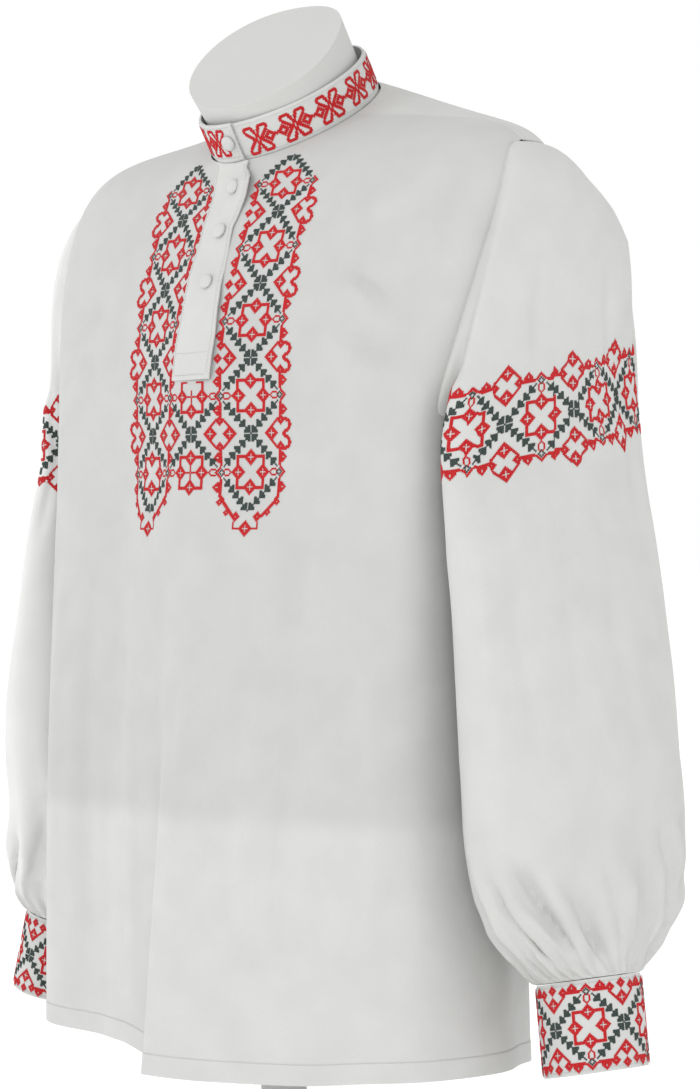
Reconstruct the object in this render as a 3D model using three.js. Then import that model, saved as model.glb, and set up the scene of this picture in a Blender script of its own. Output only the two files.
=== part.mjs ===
// A man's folk shirt worn by a limbless dress form. Millimetres, +Z up.
// The wearer faces -Y and the wearer's left is +X. Z = 0 is the underside of the stand's base.
import * as THREE from 'three';

// ---- driving dimensions ----
const CLOTH = 1.6;            // wall of one layer of cloth
const BAND_CLOTH = 2.4;       // wall of collar, cuffs and placket, which are two layers
const SEAM_GAP = 0.5;         // pieces stop this far apart at a seam
const SHOULDER_W = 0.5;       // yoke parameter of the shoulder point
const COLLAR_HEIGHT = 29;
const COLLAR_LAP = 11;        // each collar end passes the middle by this much
const CUFF_HEIGHT = 65;
const CUFF_RADIUS = 37.5;
const CUFF_LAP = 0.3;         // radians of cuff that lie double
const PLACKET_HALF = 22;      // half width of the placket strip
const PLACKET_BOTTOM_V = 1.05; // v of the placket's lower edge
const PLACKET_TOP_V = 1.955;  // v of its upper edge, just below the collar
const SLIT_HALF = 7;          // half width of the cut in the front under the placket
const BUTTON_RADIUS = 5.8;
const BUTTON_HEIGHT = 3.4;
const FORM_CLEARANCE = 0.6;   // cloth to form where the cloth rests
const FORM_BOTTOM = 258;
const POLE_RADIUS = 17.5;
const BASE_RADIUS = 150;
const BASE_HEIGHT = 12;
const TOUCH_GAP = 0.3;        // between pieces that lie on each other

const QUARTER = Math.PI / 2;
const rad = THREE.MathUtils.degToRad;
const clamp01 = (t) => Math.min(1, Math.max(0, t));
const smooth = (t) => clamp01(t) ** 2 * (3 - 2 * clamp01(t));
const bell = (x, width) => Math.exp(-((x / width) ** 2));

// ---- sections of the body of the shirt ----
// Each is a rounded outline seen from above: half width, middle in Y, front and back depth,
// squareness of the front and back, and how far the middle of the chest stands out.
const LOWER = [
  { z: 92, half: 215, mid: 0, front: 150, back: 150, nFront: 2.2, nBack: 2.2, beak: 0 },
  { z: 282, half: 213, mid: -10, front: 116, back: 155, nFront: 2.6, nBack: 2.2, beak: 6 },
  { z: 500, half: 209, mid: -28, front: 63, back: 163, nFront: 3.4, nBack: 2.2, beak: 16 },
  { z: 590, half: 209, mid: -30, front: 48, back: 164, nFront: 4.0, nBack: 2.2, beak: 18 },
];
// Control sections of the yoke, from the underarm over the shoulders to the neck seam, with
// their heights at the front, side and back.
const YOKE = [
  { half: 209, mid: -30, front: 48, back: 164, nFront: 4.0, nBack: 2.2, beak: 18, zF: 590, zS: 575, zB: 590 },
  { half: 277, mid: 40, front: 114, back: 114, nFront: 2.6, nBack: 2.4, beak: 14, zF: 694, zS: 820, zB: 715 },
  { half: 236, mid: 40, front: 82, back: 66, nFront: 2.2, nBack: 2.2, beak: 2, zF: 742, zS: 783, zB: 826 },
  { half: 68, mid: 12, front: 62, back: 62, nFront: 2, nBack: 2, beak: 0, zF: 771, zS: 807, zB: 843 },
];
const NECK_SLOPE = 0.58;      // rise of the neck seam's plane towards the back
const BEAK_WIDTH = 60;
const SIDE_DROP = 15;         // the section at the underarm is this much lower at the side

// Point of one section. angle 0 is the middle of the front, +90 degrees the wearer's left side.
function sectionPoint(s, angle) {
  const atFront = Math.cos(angle) > 0;
  const n = atFront ? s.nFront : s.nBack;
  const depth = atFront ? s.front : s.back;
  const x = s.half * Math.sin(angle);
  const reach = depth * (1 - Math.abs(Math.sin(angle)) ** n) ** (1 / n);
  const y = atFront ? s.mid - reach : s.mid + reach;
  const beak = atFront ? s.beak * bell(x, BEAK_WIDTH) : 0;
  return new THREE.Vector2(x, y - beak);
}

function mixSections(table, z) {
  let i = 0;
  while (i < table.length - 2 && z > table[i + 1].z) i += 1;
  const t = clamp01((z - table[i].z) / (table[i + 1].z - table[i].z));
  const mixed = {};
  for (const key of Object.keys(table[i])) {
    const before = table[Math.max(0, i - 1)][key];
    const a = table[i][key];
    const b = table[i + 1][key];
    const after = table[Math.min(table.length - 1, i + 2)][key];
    const slopeA = i > 0 ? (b - before) / 2 : b - a;
    const slopeB = i < table.length - 2 ? (after - a) / 2 : b - a;
    const t2 = t * t;
    const t3 = t2 * t;
    mixed[key] = (2 * t3 - 3 * t2 + 1) * a + (t3 - 2 * t2 + t) * slopeA
      + (3 * t2 - 2 * t3) * b + (t3 - t2) * slopeB;
  }
  return mixed;
}

// ---- folds of the body, deepest at the hem ----
// The large fold: right of the middle the front falls back behind a sharp ridge.
const FOLD = { ridgeX: 12, steepX: -22, flatX: -95, endX: -190, depth: 40, topZ: 520, bottomZ: 130 };
// Soft troughs: plan angle of the middle, half width in degrees, depth at the hem, height where they fade.
const TROUGHS = [
  { angle: 30, width: 12, depth: 5, top: 420 },
  { angle: 58, width: 10, depth: 7, top: 380 },
  { angle: 112, width: 11, depth: 9, top: 470 },
  { angle: 138, width: 9, depth: 12, top: 560 },
  { angle: 163, width: 10, depth: 8, top: 500 },
  { angle: 188, width: 8, depth: 13, top: 590 },
  { angle: 214, width: 11, depth: 9, top: 480 },
  { angle: 240, width: 9, depth: 11, top: 520 },
  { angle: 262, width: 8, depth: 5, top: 400 },
];

function foldDepth(x, z) {
  const fade = smooth((FOLD.topZ - z) / (FOLD.topZ - FOLD.bottomZ));
  if (x > FOLD.ridgeX || x < FOLD.endX) return 0;
  const share = x > FOLD.flatX
    ? (FOLD.ridgeX - x) / (FOLD.ridgeX - FOLD.steepX)
    : (x - FOLD.endX) / (FOLD.flatX - FOLD.endX);
  return FOLD.depth * fade * smooth(share);
}

function troughDepth(angle, z) {
  const turn = ((THREE.MathUtils.radToDeg(angle) % 360) + 360) % 360;
  let depth = 0;
  for (const t of TROUGHS) {
    const fade = smooth((t.top - z) / (t.top - LOWER[0].z));
    depth += t.depth * fade * bell(turn - t.angle, t.width);
  }
  return depth;
}

// The hem is a little higher at the sides and on the wearer's right.
const HEM_LIFT = { sides: 7, right: 11 };

function hemLift(angle) {
  const right = Math.max(0, -Math.sin(angle));
  const atFront = smooth(1 + Math.cos(angle));
  return HEM_LIFT.sides * Math.sin(angle) ** 2 + HEM_LIFT.right * smooth(right * 3) * atFront;
}

// ---- the surface of the body: angle round it and v from the hem (0) to the neck seam (2) ----
// v in 0..1 is below the underarm, v in 1..2 is the yoke.
function bodyPoint(angle, v) {
  return v <= 1 ? lowerPoint(angle, v) : yokePoint(angle, v - 1);
}

function lowerPoint(angle, v) {
  const side = Math.sin(angle) ** 2;
  const top = LOWER[LOWER.length - 1].z - SIDE_DROP * side;
  const bottom = LOWER[0].z + hemLift(angle);
  const z = bottom + (top - bottom) * v;
  const sectionZ = LOWER[0].z + (LOWER[LOWER.length - 1].z - LOWER[0].z) * v;
  const p = sectionPoint(mixSections(LOWER, sectionZ), angle);
  const inward = troughDepth(angle, z);
  const length = p.length();
  const x = p.x * (1 - inward / length);
  const y = p.y * (1 - inward / length);
  const recess = Math.cos(angle) > 0 ? foldDepth(p.x, z) : 0;
  return new THREE.Vector3(x, y + recess, z);
}

function yokePoint(angle, w) {
  const side = Math.sin(angle) ** 2;
  const corners = YOKE.map((s, i) => {
    const p = sectionPoint(s, angle);
    const end = Math.cos(angle) > 0 ? s.zF : s.zB;
    const z = i === YOKE.length - 1
      ? YOKE[i].zF + NECK_SLOPE * (p.y - (s.mid - s.front))
      : end + (s.zS - end) * side;
    return new THREE.Vector3(p.x, p.y, z);
  });
  const curve = new THREE.CubicBezierCurve3(...corners);
  return curve.getPoint(clamp01(w));
}

// Outward normal of any surface given as a function of two parameters.
function surfaceNormal(point, a, b, outward, da = 0.004, db = 0.004) {
  const alongA = point(a + da, b).sub(point(a - da, b));
  const alongB = point(a, b + db).sub(point(a, b - db));
  const n = alongA.cross(alongB).normalize();
  return n.multiplyScalar(outward);
}

function bodyNormal(angle, v) {
  const inside = Math.min(1.996, Math.max(0.004, v));
  return surfaceNormal(bodyPoint, angle, inside, 1);
}

// ---- a closed wall from a grid of outer points and their normals ----
function wallGeometry(rows, { thickness, wrap = false, keep = () => true }) {
  const rowCount = rows.length;
  const columnCount = rows[0].length;
  const positions = [];
  for (const depth of [0, thickness]) {
    for (const { p, n } of rows.flat()) positions.push(...p.clone().addScaledVector(n, -depth).toArray());
  }
  const half = rowCount * columnCount;
  const at = (r, c, inner) => inner * half + r * columnCount + (c % columnCount);
  const cells = new Set();
  const lastColumn = wrap ? columnCount : columnCount - 1;
  for (let r = 0; r < rowCount - 1; r += 1) {
    for (let c = 0; c < lastColumn; c += 1) if (keep(r, c)) cells.add(r * columnCount + c);
  }
  const has = (r, c) => {
    const column = wrap ? (c + columnCount) % columnCount : c;
    const inGrid = r >= 0 && r < rowCount - 1 && column >= 0 && column < lastColumn;
    return inGrid && cells.has(r * columnCount + column);
  };
  const index = [];
  const quad = (a, b, c, d) => index.push(a, b, c, a, c, d);
  for (const cell of cells) {
    const r = Math.floor(cell / columnCount);
    const c = cell % columnCount;
    quad(at(r, c, 0), at(r, c + 1, 0), at(r + 1, c + 1, 0), at(r + 1, c, 0));
    quad(at(r, c, 1), at(r + 1, c, 1), at(r + 1, c + 1, 1), at(r, c + 1, 1));
    if (!has(r - 1, c)) quad(at(r, c, 0), at(r, c, 1), at(r, c + 1, 1), at(r, c + 1, 0));
    if (!has(r + 1, c)) quad(at(r + 1, c, 0), at(r + 1, c + 1, 0), at(r + 1, c + 1, 1), at(r + 1, c, 1));
    if (!has(r, c - 1)) quad(at(r, c, 0), at(r + 1, c, 0), at(r + 1, c, 1), at(r, c, 1));
    if (!has(r, c + 1)) quad(at(r, c + 1, 0), at(r, c + 1, 1), at(r + 1, c + 1, 1), at(r + 1, c + 1, 0));
  }
  return compactGeometry(positions, index);
}

// Drops the points that no face uses.
function compactGeometry(positions, index) {
  const used = new Map();
  const kept = [];
  const newIndex = index.map((i) => {
    if (!used.has(i)) {
      used.set(i, kept.length / 3);
      kept.push(positions[3 * i], positions[3 * i + 1], positions[3 * i + 2]);
    }
    return used.get(i);
  });
  const geometry = new THREE.BufferGeometry();
  geometry.setAttribute('position', new THREE.Float32BufferAttribute(kept, 3));
  geometry.setIndex(newIndex);
  return geometry;
}

// A closed solid from rings of points, with a flat fan at each end.
function loftGeometry(rings) {
  const count = rings[0].length;
  const positions = [];
  for (const ring of rings) for (const p of ring) positions.push(...p.toArray());
  const index = [];
  for (let r = 0; r < rings.length - 1; r += 1) {
    for (let c = 0; c < count; c += 1) {
      const d = (c + 1) % count;
      index.push(r * count + c, r * count + d, (r + 1) * count + d);
      index.push(r * count + c, (r + 1) * count + d, (r + 1) * count + c);
    }
  }
  const ends = [[0, -1], [rings.length - 1, 1]];
  for (const [r, facing] of ends) {
    const middle = new THREE.Vector3();
    for (const p of rings[r]) middle.add(p);
    middle.divideScalar(count);
    positions.push(...middle.toArray());
    const m = positions.length / 3 - 1;
    for (let c = 0; c < count; c += 1) {
      const d = (c + 1) % count;
      if (facing > 0) index.push(m, r * count + c, r * count + d);
      else index.push(m, r * count + d, r * count + c);
    }
  }
  return compactGeometry(positions, index);
}

// ---- the armhole: a loop round the shoulder point and the underarm point ----
const ARMHOLE = { frontWidth: rad(17), backWidth: rad(30), squareness: 0.75 };

// turn 0 is the shoulder point, 90 degrees the front, 180 the underarm, 270 the back.
function armholeParams(turn) {
  const w = SHOULDER_W * (1 + Math.cos(turn)) / 2;
  const bulge = Math.abs(Math.sin(turn)) ** ARMHOLE.squareness;
  const width = Math.sin(turn) > 0 ? -ARMHOLE.frontWidth : ARMHOLE.backWidth;
  return { angle: QUARTER + width * bulge, w };
}

// Half angle of a panel at v: the side seam, then the armhole edge, then the shoulder seam.
function panelEdge(v, isFront) {
  const w = v - 1;
  if (w <= 0 || w >= SHOULDER_W) return QUARTER;
  const turn = Math.acos(clamp01(w / SHOULDER_W) * 2 - 1);
  const { angle } = armholeParams(isFront ? turn : -turn);
  return isFront ? angle : Math.PI - angle;
}

// Pulls a panel's edge back from the seam by half the seam's gap.
function trimmed(angle, v) {
  const edge = bodyPoint(angle, v);
  const step = bodyPoint(angle - 0.01, v).distanceTo(edge);
  return angle - 0.01 * (SEAM_GAP / 2) / Math.max(step, 0.05);
}

// ---- front and back ----
const FRONT_COLUMNS = [
  -90, -86, -80, -72, -63, -54, -45, -36, -27, -19, -12, -6, -2.8, 0.5, 3.2,
  7, 13, 20, 29, 38, 47, 56, 65, 73, 80, 86, 90,
];
const SLIT_COLUMNS = { first: -2.8, last: 3.2 };
const BACK_COLUMNS = Array.from({ length: 19 }, (_, i) => -90 + 10 * i);
const ROWS = [
  0, 0.04, 0.2, 0.37, 0.54, 0.7, 0.86, 1,
  PLACKET_BOTTOM_V, 1.1, 1.17, 1.25, 1.33, 1.4, 1.46, 1.5, 1.6, 1.72, 1.84, PLACKET_TOP_V, 1.998,
];

function panelRows(columns, isFront) {
  const facing = isFront ? 0 : Math.PI;
  return ROWS.map((v) => {
    const edge = trimmed(panelEdge(v, isFront), v);
    return columns.map((degrees) => {
      const angle = facing + edge * degrees / 90;
      return { p: bodyPoint(angle, v), n: bodyNormal(angle, v) };
    });
  });
}

const slitRow = ROWS.indexOf(PLACKET_BOTTOM_V) + 1;
const slitFirst = FRONT_COLUMNS.indexOf(SLIT_COLUMNS.first);
const slitLast = FRONT_COLUMNS.indexOf(SLIT_COLUMNS.last);

function frontRows() {
  const rows = panelRows(FRONT_COLUMNS, true);
  for (const row of rows.slice(slitRow)) {
    moveToX(row[slitFirst], -SLIT_HALF);
    moveToX(row[slitLast], SLIT_HALF);
  }
  return rows;
}

function frontGeometry(rows) {
  const keep = (r, c) => r < slitRow || c < slitFirst || c >= slitLast;
  return wallGeometry(rows, { thickness: CLOTH, keep });
}

// Moves a point of the front sideways along the cloth to a given X.
function moveToX(entry, x) {
  const shift = x - entry.p.x;
  const slope = -entry.n.x / Math.min(-0.2, entry.n.y);
  entry.p.x = x;
  entry.p.y += shift * slope;
}

function backGeometry() {
  return wallGeometry(panelRows(BACK_COLUMNS, false), { thickness: CLOTH });
}

// ---- sleeves ----
// Horizontal sections below the armhole: middle, half width in X, half width in Y, gather depth.
const SLEEVE = [
  { z: 545, x: 232, y: 48, halfX: 25, halfY: 99, gather: 0 },
  { z: 451, x: 248, y: 42, halfX: 34, halfY: 103, gather: 0 },
  { z: 330, x: 262, y: 41, halfX: 46, halfY: 104, gather: 0.3 },
  { z: 268, x: 265, y: 44, halfX: 47, halfY: 104, gather: 1.6 },
  { z: 232, x: 271, y: 43, halfX: 46, halfY: 95, gather: 3.6 },
  { z: 210, x: 276, y: 40, halfX: 43, halfY: 82, gather: 4.6 },
  { z: 194, x: 281, y: 37, halfX: 39, halfY: 66, gather: 4.0 },
  { z: 182, x: 284, y: 34, halfX: 37, halfY: 48, gather: 2.4 },
  { z: 175, x: 286, y: 33, halfX: 36.4, halfY: 36.4, gather: 0.6 },
];
const SLEEVE_TURNS = 48;      // columns round a sleeve
const GATHERS = 12;           // folds round a sleeve above its cuff
const SLEEVE_TILT = 0.2;      // the cuff end's plane rises outward by this slope
const TILT_FROM_Z = 240;
const TILT_LENGTH = 70;
const SWING_FROM_Z = 225;     // a sleeve's sideways swing grows from here down
const SWING_LENGTH = 50;
const SWING_DIP = { z: 262, width: 62, share: 0.7 }; // above it the sleeve hangs inward instead
const HEAD_STEPS = [0.12, 0.27, 0.44, 0.62, 0.81];
// Where the head of the sleeve leaves the armhole and how far it reaches: at top, front, underarm, back.
const HEAD = {
  top: { out: new THREE.Vector3(38, 16, -2), down: 130 },
  front: { out: new THREE.Vector3(20, -6, -6), down: 44 },
  under: { out: new THREE.Vector3(4, 0, -3), down: 8 },
  back: { out: new THREE.Vector3(34, 70, 4), down: 40 },
};

function sleeveSection(z, turn, swing = 0) {
  const s = mixSections([...SLEEVE].reverse(), z);
  const dip = SWING_DIP.share * bell(z - SWING_DIP.z, SWING_DIP.width);
  s.x += swing * (smooth((SWING_FROM_Z - z) / SWING_LENGTH) - dip);
  const ripple = s.gather * gatherWave(turn);
  const x = s.x + (s.halfX + ripple) * Math.cos(turn);
  const y = s.y - (s.halfY + ripple) * Math.sin(turn);
  const tilt = SLEEVE_TILT * smooth((TILT_FROM_Z - z) / TILT_LENGTH);
  return new THREE.Vector3(x, y, z + tilt * (x - s.x));
}

// Unevenly deep folds: the main wave and a slow one that varies it.
function gatherWave(turn) {
  const height = 0.8 + 0.3 * Math.sin(3 * turn + 1);
  return Math.sin(GATHERS * turn) * height + 0.25 * Math.sin(5 * turn + 2);
}

function mixHead(turn, key) {
  const up = Math.cos(turn);
  const ahead = Math.sin(turn);
  const vertical = up > 0 ? HEAD.top : HEAD.under;
  const across = ahead > 0 ? HEAD.front : HEAD.back;
  const share = up * up;
  if (key === 'down') return vertical.down * share + across.down * (1 - share);
  return vertical.out.clone().multiplyScalar(share).addScaledVector(across.out, 1 - share);
}

// The head of the sleeve runs from the armhole to the first horizontal section.
function sleeveHeadPoint(turn, s) {
  const { angle, w } = armholeParams(turn);
  const edge = bodyPoint(angle, 1 + w);
  const inHole = bodyPoint(QUARTER, 1 + Math.min(SHOULDER_W * 0.97, Math.max(0.03, w))).sub(edge);
  if (inHole.length() > SEAM_GAP) edge.addScaledVector(inHole.normalize(), SEAM_GAP);
  const start = edge.clone().add(mixHead(turn, 'out').setLength(2 * SEAM_GAP));
  const end = sleeveSection(SLEEVE[0].z, turn);
  const leave = start.clone().add(mixHead(turn, 'out'));
  const arrive = end.clone().setZ(end.z + mixHead(turn, 'down'));
  return new THREE.CubicBezierCurve3(start, leave, arrive, end).getPoint(s);
}

// s in 0..1 is the head, beyond 1 each whole step is the next section of the table.
function sleevePoint(turn, s, swing) {
  if (s <= 1) return sleeveHeadPoint(turn, s);
  const i = Math.min(SLEEVE.length - 2, Math.floor(s - 1));
  const t = s - 1 - i;
  return sleeveSection(SLEEVE[i].z + (SLEEVE[i + 1].z - SLEEVE[i].z) * t, turn, swing);
}

const SLEEVE_ROWS = [0, ...HEAD_STEPS, 1, 1.5, 2, 2.6, 3.2, 3.7, 4.2, 4.7, 5.2, 5.7, 6.3, 7, 8, 9];

function sleeveGeometry(side, swing) {
  const point = (turn, s) => sleevePoint(turn, s, swing);
  const rows = SLEEVE_ROWS.map((s) => Array.from({ length: SLEEVE_TURNS }, (_, i) => {
    const turn = 2 * Math.PI * i / SLEEVE_TURNS;
    const inside = Math.min(SLEEVE.length - 0.01, Math.max(0.01, s));
    const n = surfaceNormal(point, turn, inside, 1, 0.02, 0.01);
    return mirrored({ p: point(turn, s), n }, side);
  }));
  return wallGeometry(facingOut(rows, side), { thickness: CLOTH, wrap: true });
}

function mirrored({ p, n }, side) {
  return { p: new THREE.Vector3(p.x * side, p.y, p.z), n: new THREE.Vector3(n.x * side, n.y, n.z) };
}

// Keeps the faces pointing out when a grid is mirrored.
function facingOut(rows, side) {
  return side > 0 ? rows : rows.map((row) => [...row].reverse());
}

// ---- bands that lap over themselves: cuffs and collar ----
const LAP_RISE = BAND_CLOTH + 0.5;

// 0 where the band lies single, 1 where its end passes over the other end.
function lapShare(t, start) {
  return smooth((t - start) / (1 - start) * 2);
}

// A grid of points along (t) and across (h) a band.
function bandRows(point, rowCount, columnCount) {
  const entry = (t, h) => ({ p: point(t, h), n: surfaceNormal(point, t, h, 1, 0.003, 0.01) });
  const columns = Array.from({ length: columnCount + 1 }, (_, c) => c / columnCount);
  return Array.from({ length: rowCount + 1 }, (_, r) => columns.map((t) => entry(t, r / rowCount)));
}

const CUFF_TOP = { x: 286, y: 33, z: 174.4 };
const CUFF_AXIS = new THREE.Vector3(0.2, -0.08, -1).normalize();
const CUFF_COLUMNS = 36;
const CUFF_ROWS = 1;
const CUFF_OPENING = rad(262);    // the lap faces back, a little inward
const CUFF_LAP_START = 0.86;      // share of the band's length where the upper end starts to rise
const CUFF_BUTTON_AT = 0.965;     // share of the band's length

function cuffPoint(t, h, swing) {
  const turn = CUFF_OPENING + (2 * Math.PI + CUFF_LAP) * t;
  const radius = CUFF_RADIUS + LAP_RISE * lapShare(t, CUFF_LAP_START);
  const across = radius * Math.cos(turn);
  const x = CUFF_TOP.x + swing + across;
  const y = CUFF_TOP.y - radius * Math.sin(turn);
  const z = CUFF_TOP.z + SLEEVE_TILT * across;
  return new THREE.Vector3(x, y, z).addScaledVector(CUFF_AXIS, CUFF_HEIGHT * h);
}

function cuffRows(side, swing) {
  const point = (t, h) => cuffPoint(t, h, swing);
  const rows = bandRows(point, CUFF_ROWS, CUFF_COLUMNS);
  return facingOut(rows.map((row) => row.map((entry) => mirrored(entry, side))), side);
}

// The collar stands on the neck seam, square to its plane.
const COLLAR_UP = new THREE.Vector3(0, -NECK_SLOPE, 1).normalize();
const COLLAR_BUTTON_AT = 0.984;   // share of the band's length
const COLLAR_COLUMNS = 40;
const COLLAR_ROWS = 1;
const COLLAR_LAP_START = 0.9;     // share of the band's length where the upper end starts to rise
const COLLAR_LAP_RAMP = 0.045;
const COLLAR_SETBACK = 1.2;       // the band stands this far inside the neck seam
const COLLAR_FOOT = 0.9;          // and this far above it

function collarPoint(t, h) {
  const lapAngle = COLLAR_LAP / (YOKE[3].front + 4);
  const angle = -lapAngle + (2 * Math.PI + 2 * lapAngle) * t;
  const neck = sectionPoint(YOKE[3], angle);
  const z = YOKE[3].zF + NECK_SLOPE * (neck.y - (YOKE[3].mid - YOKE[3].front));
  const outward = new THREE.Vector3(neck.x, neck.y - YOKE[3].mid, 0).normalize();
  const rise = LAP_RISE * smooth((t - COLLAR_LAP_START) / COLLAR_LAP_RAMP) - COLLAR_SETBACK;
  return new THREE.Vector3(neck.x, neck.y, z)
    .addScaledVector(outward, rise)
    .addScaledVector(COLLAR_UP, COLLAR_FOOT + COLLAR_HEIGHT * h);
}

function collarRows() {
  return bandRows(collarPoint, COLLAR_ROWS, COLLAR_COLUMNS);
}

// ---- placket: a top strip over the slit and the strip it laps on ----
const STRIP_COLUMNS = 5;

// Where a row of the front's grid crosses a given X.
function crossing(row, x) {
  const c = row.findIndex((entry) => entry.p.x >= x);
  const t = (x - row[c - 1].p.x) / (row[c].p.x - row[c - 1].p.x);
  return {
    p: row[c - 1].p.clone().lerp(row[c].p, t),
    n: row[c - 1].n.clone().lerp(row[c].n, t).normalize(),
  };
}

// The free edge stands off the cloth in uneven waves.
function freeEdgeLift(across, along) {
  const wave = 1.4 + 1.4 * Math.sin(9 * along + 0.6) + 2.6 * bell(along - 0.86, 0.09);
  return Math.max(0, wave) * smooth((across - 0.35) / 0.65);
}

function stripRows(front, fromX, toX, lift) {
  const rows = front.slice(slitRow - 1, ROWS.indexOf(PLACKET_TOP_V) + 1);
  return rows.map((row, r) => Array.from({ length: STRIP_COLUMNS + 1 }, (_, c) => {
    const across = c / STRIP_COLUMNS;
    const { p, n } = crossing(row, fromX + (toX - fromX) * across);
    return { p: p.addScaledVector(n, lift(across, r / (rows.length - 1))), n };
  }));
}

// ---- buttons: domed, covered with cloth ----
const BUTTON_STEPS = 12;

function buttonGeometry() {
  const r = BUTTON_RADIUS;
  const h = BUTTON_HEIGHT;
  const profile = [
    [0, 0], [r * 0.75, 0], [r, h * 0.4], [r * 0.88, h * 0.82], [r * 0.55, h * 0.97], [0, h],
  ].map(([x, y]) => new THREE.Vector2(x, y));
  return new THREE.LatheGeometry(profile, BUTTON_STEPS);
}

// Point and normal of a wall's outer face, read from its grid at a fraction of its columns and rows.
function onGrid(rows, across, along) {
  const r = along * (rows.length - 1);
  const c = across * (rows[0].length - 1);
  const r0 = Math.min(rows.length - 2, Math.floor(r));
  const c0 = Math.min(rows[0].length - 2, Math.floor(c));
  const mix = (key) => {
    const low = rows[r0][c0][key].clone().lerp(rows[r0][c0 + 1][key], c - c0);
    const high = rows[r0 + 1][c0][key].clone().lerp(rows[r0 + 1][c0 + 1][key], c - c0);
    return low.lerp(high, r - r0);
  };
  const p = mix('p');
  const side = rows[r0][c0 + 1].p.clone().sub(rows[r0][c0].p);
  const up = rows[r0 + 1][c0].p.clone().sub(rows[r0][c0].p);
  return { p, n: side.cross(up).normalize() };
}

// ---- the dress form ----
const NECK_TOP = { x: -2, mid: -21, halfX: 66.5, halfY: 45, z: 852, slope: 0.93, sideSlope: -0.12 };
const NECK_INSET = 9.6;         // neck seam to the form's neck
const NECK_FOOT_RISE = 2;       // the form's neck starts this far above the neck seam
const NECK_SHARES = [0, 0.35, 0.7, 1];
const HORIZONTAL_BELOW_V = 1.2; // below this the form is set in sideways only
const BOTTOM_TAPER = { x: 0.94, y: 0.93 };
const FORM_BACK_COLUMNS = BACK_COLUMNS.slice(0, -1).map((degrees) => degrees + 180);
const FORM_ANGLES = [...FRONT_COLUMNS.slice(0, -1), ...FORM_BACK_COLUMNS].map(rad);
// How far the form stays inside the cloth, by v: at the front, side and back.
const FORM_INSET = [
  { v: 0.36, front: 31, side: 58, back: 40 },
  { v: 0.41, front: 23, side: 49, back: 33 },
  { v: 0.5, front: 18, side: 43, back: 27 },
  { v: 0.66, front: 14, side: 40, back: 22 },
  { v: 0.86, front: 8, side: 36, back: 14 },
  { v: 1.1, front: 5, side: 24, back: 5 },
  { v: 1.25, front: 4.5, side: 14, back: 4 },
  { v: 1.4, front: 4, side: 7, back: 3.6 },
  { v: 1.5, front: 3.6, side: 5.8, back: 4.4 },
  { v: 1.6, front: 3.4, side: 2.2, back: 3 },
  { v: 1.72, front: 3.4, side: 0.7, back: 1.7 },
  { v: 1.84, front: 3.4, side: 0.9, back: 1.4 },
  { v: PLACKET_TOP_V, front: 4, side: 4.6, back: 4.8 },
];

function formRing(row) {
  return FORM_ANGLES.map((angle) => {
    const side = Math.sin(angle) ** 2;
    const end = Math.cos(angle) > 0 ? row.front : row.back;
    const inset = CLOTH + FORM_CLEARANCE + end + (row.side - end) * side;
    const n = bodyNormal(angle, row.v);
    if (row.v < HORIZONTAL_BELOW_V) n.setZ(0).normalize();
    return bodyPoint(angle, row.v).addScaledVector(n, -inset);
  });
}

function neckRing(share) {
  return FORM_ANGLES.map((angle) => {
    const foot = sectionPoint(YOKE[3], angle);
    const footZ = YOKE[3].zF + NECK_SLOPE * (foot.y - (YOKE[3].mid - YOKE[3].front));
    const inset = 1 - NECK_INSET / YOKE[3].front;
    const lowY = YOKE[3].mid + (foot.y - YOKE[3].mid) * inset;
    const low = new THREE.Vector3(foot.x * inset, lowY, footZ + NECK_FOOT_RISE);
    const x = NECK_TOP.x + NECK_TOP.halfX * Math.sin(angle);
    const y = NECK_TOP.mid - NECK_TOP.halfY * Math.cos(angle);
    const z = NECK_TOP.z + NECK_TOP.slope * (y - NECK_TOP.mid) + NECK_TOP.sideSlope * x;
    const high = new THREE.Vector3(x, y, z);
    return low.lerp(high, share);
  });
}

function formBottomRing() {
  const low = formRing(FORM_INSET[0]);
  return low.map((p) => new THREE.Vector3(p.x * BOTTOM_TAPER.x, p.y * BOTTOM_TAPER.y, FORM_BOTTOM));
}

function formGeometry() {
  const rings = [formBottomRing(), ...FORM_INSET.map(formRing), ...NECK_SHARES.map(neckRing)];
  return loftGeometry(rings);
}

function poleGeometry() {
  const height = FORM_BOTTOM - BASE_HEIGHT - 2 * TOUCH_GAP;
  const geometry = new THREE.CylinderGeometry(POLE_RADIUS, POLE_RADIUS, height, 20);
  geometry.rotateX(QUARTER);
  geometry.translate(0, 0, BASE_HEIGHT + TOUCH_GAP + height / 2);
  return geometry;
}

function baseGeometry() {
  const edge = 3;
  const profile = [
    [0, 0], [BASE_RADIUS - edge, 0], [BASE_RADIUS, edge], [BASE_RADIUS, BASE_HEIGHT - edge],
    [BASE_RADIUS - edge, BASE_HEIGHT], [0, BASE_HEIGHT],
  ].map(([x, y]) => new THREE.Vector2(x, y));
  const geometry = new THREE.LatheGeometry(profile, 36);
  geometry.rotateX(QUARTER);
  return geometry;
}

// ---- the pieces ----
const material = (settings) => new THREE.MeshStandardMaterial(settings);
const linen = () => material({ color: 0xe6e7e5, roughness: 0.92, metalness: 0 });
const coveredButton = () => material({ color: 0xeeeeec, roughness: 0.75, metalness: 0 });
const formSkin = () => material({ color: 0xd9d9d7, roughness: 0.7, metalness: 0 });
const paintedSteel = () => material({ color: 0xcfcfce, roughness: 0.45, metalness: 0.2 });

const shirt = new THREE.Group();

function addPiece(name, geometry, finish) {
  const mesh = new THREE.Mesh(geometry, finish);
  mesh.name = name;
  shirt.add(mesh);
  return mesh;
}

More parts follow.
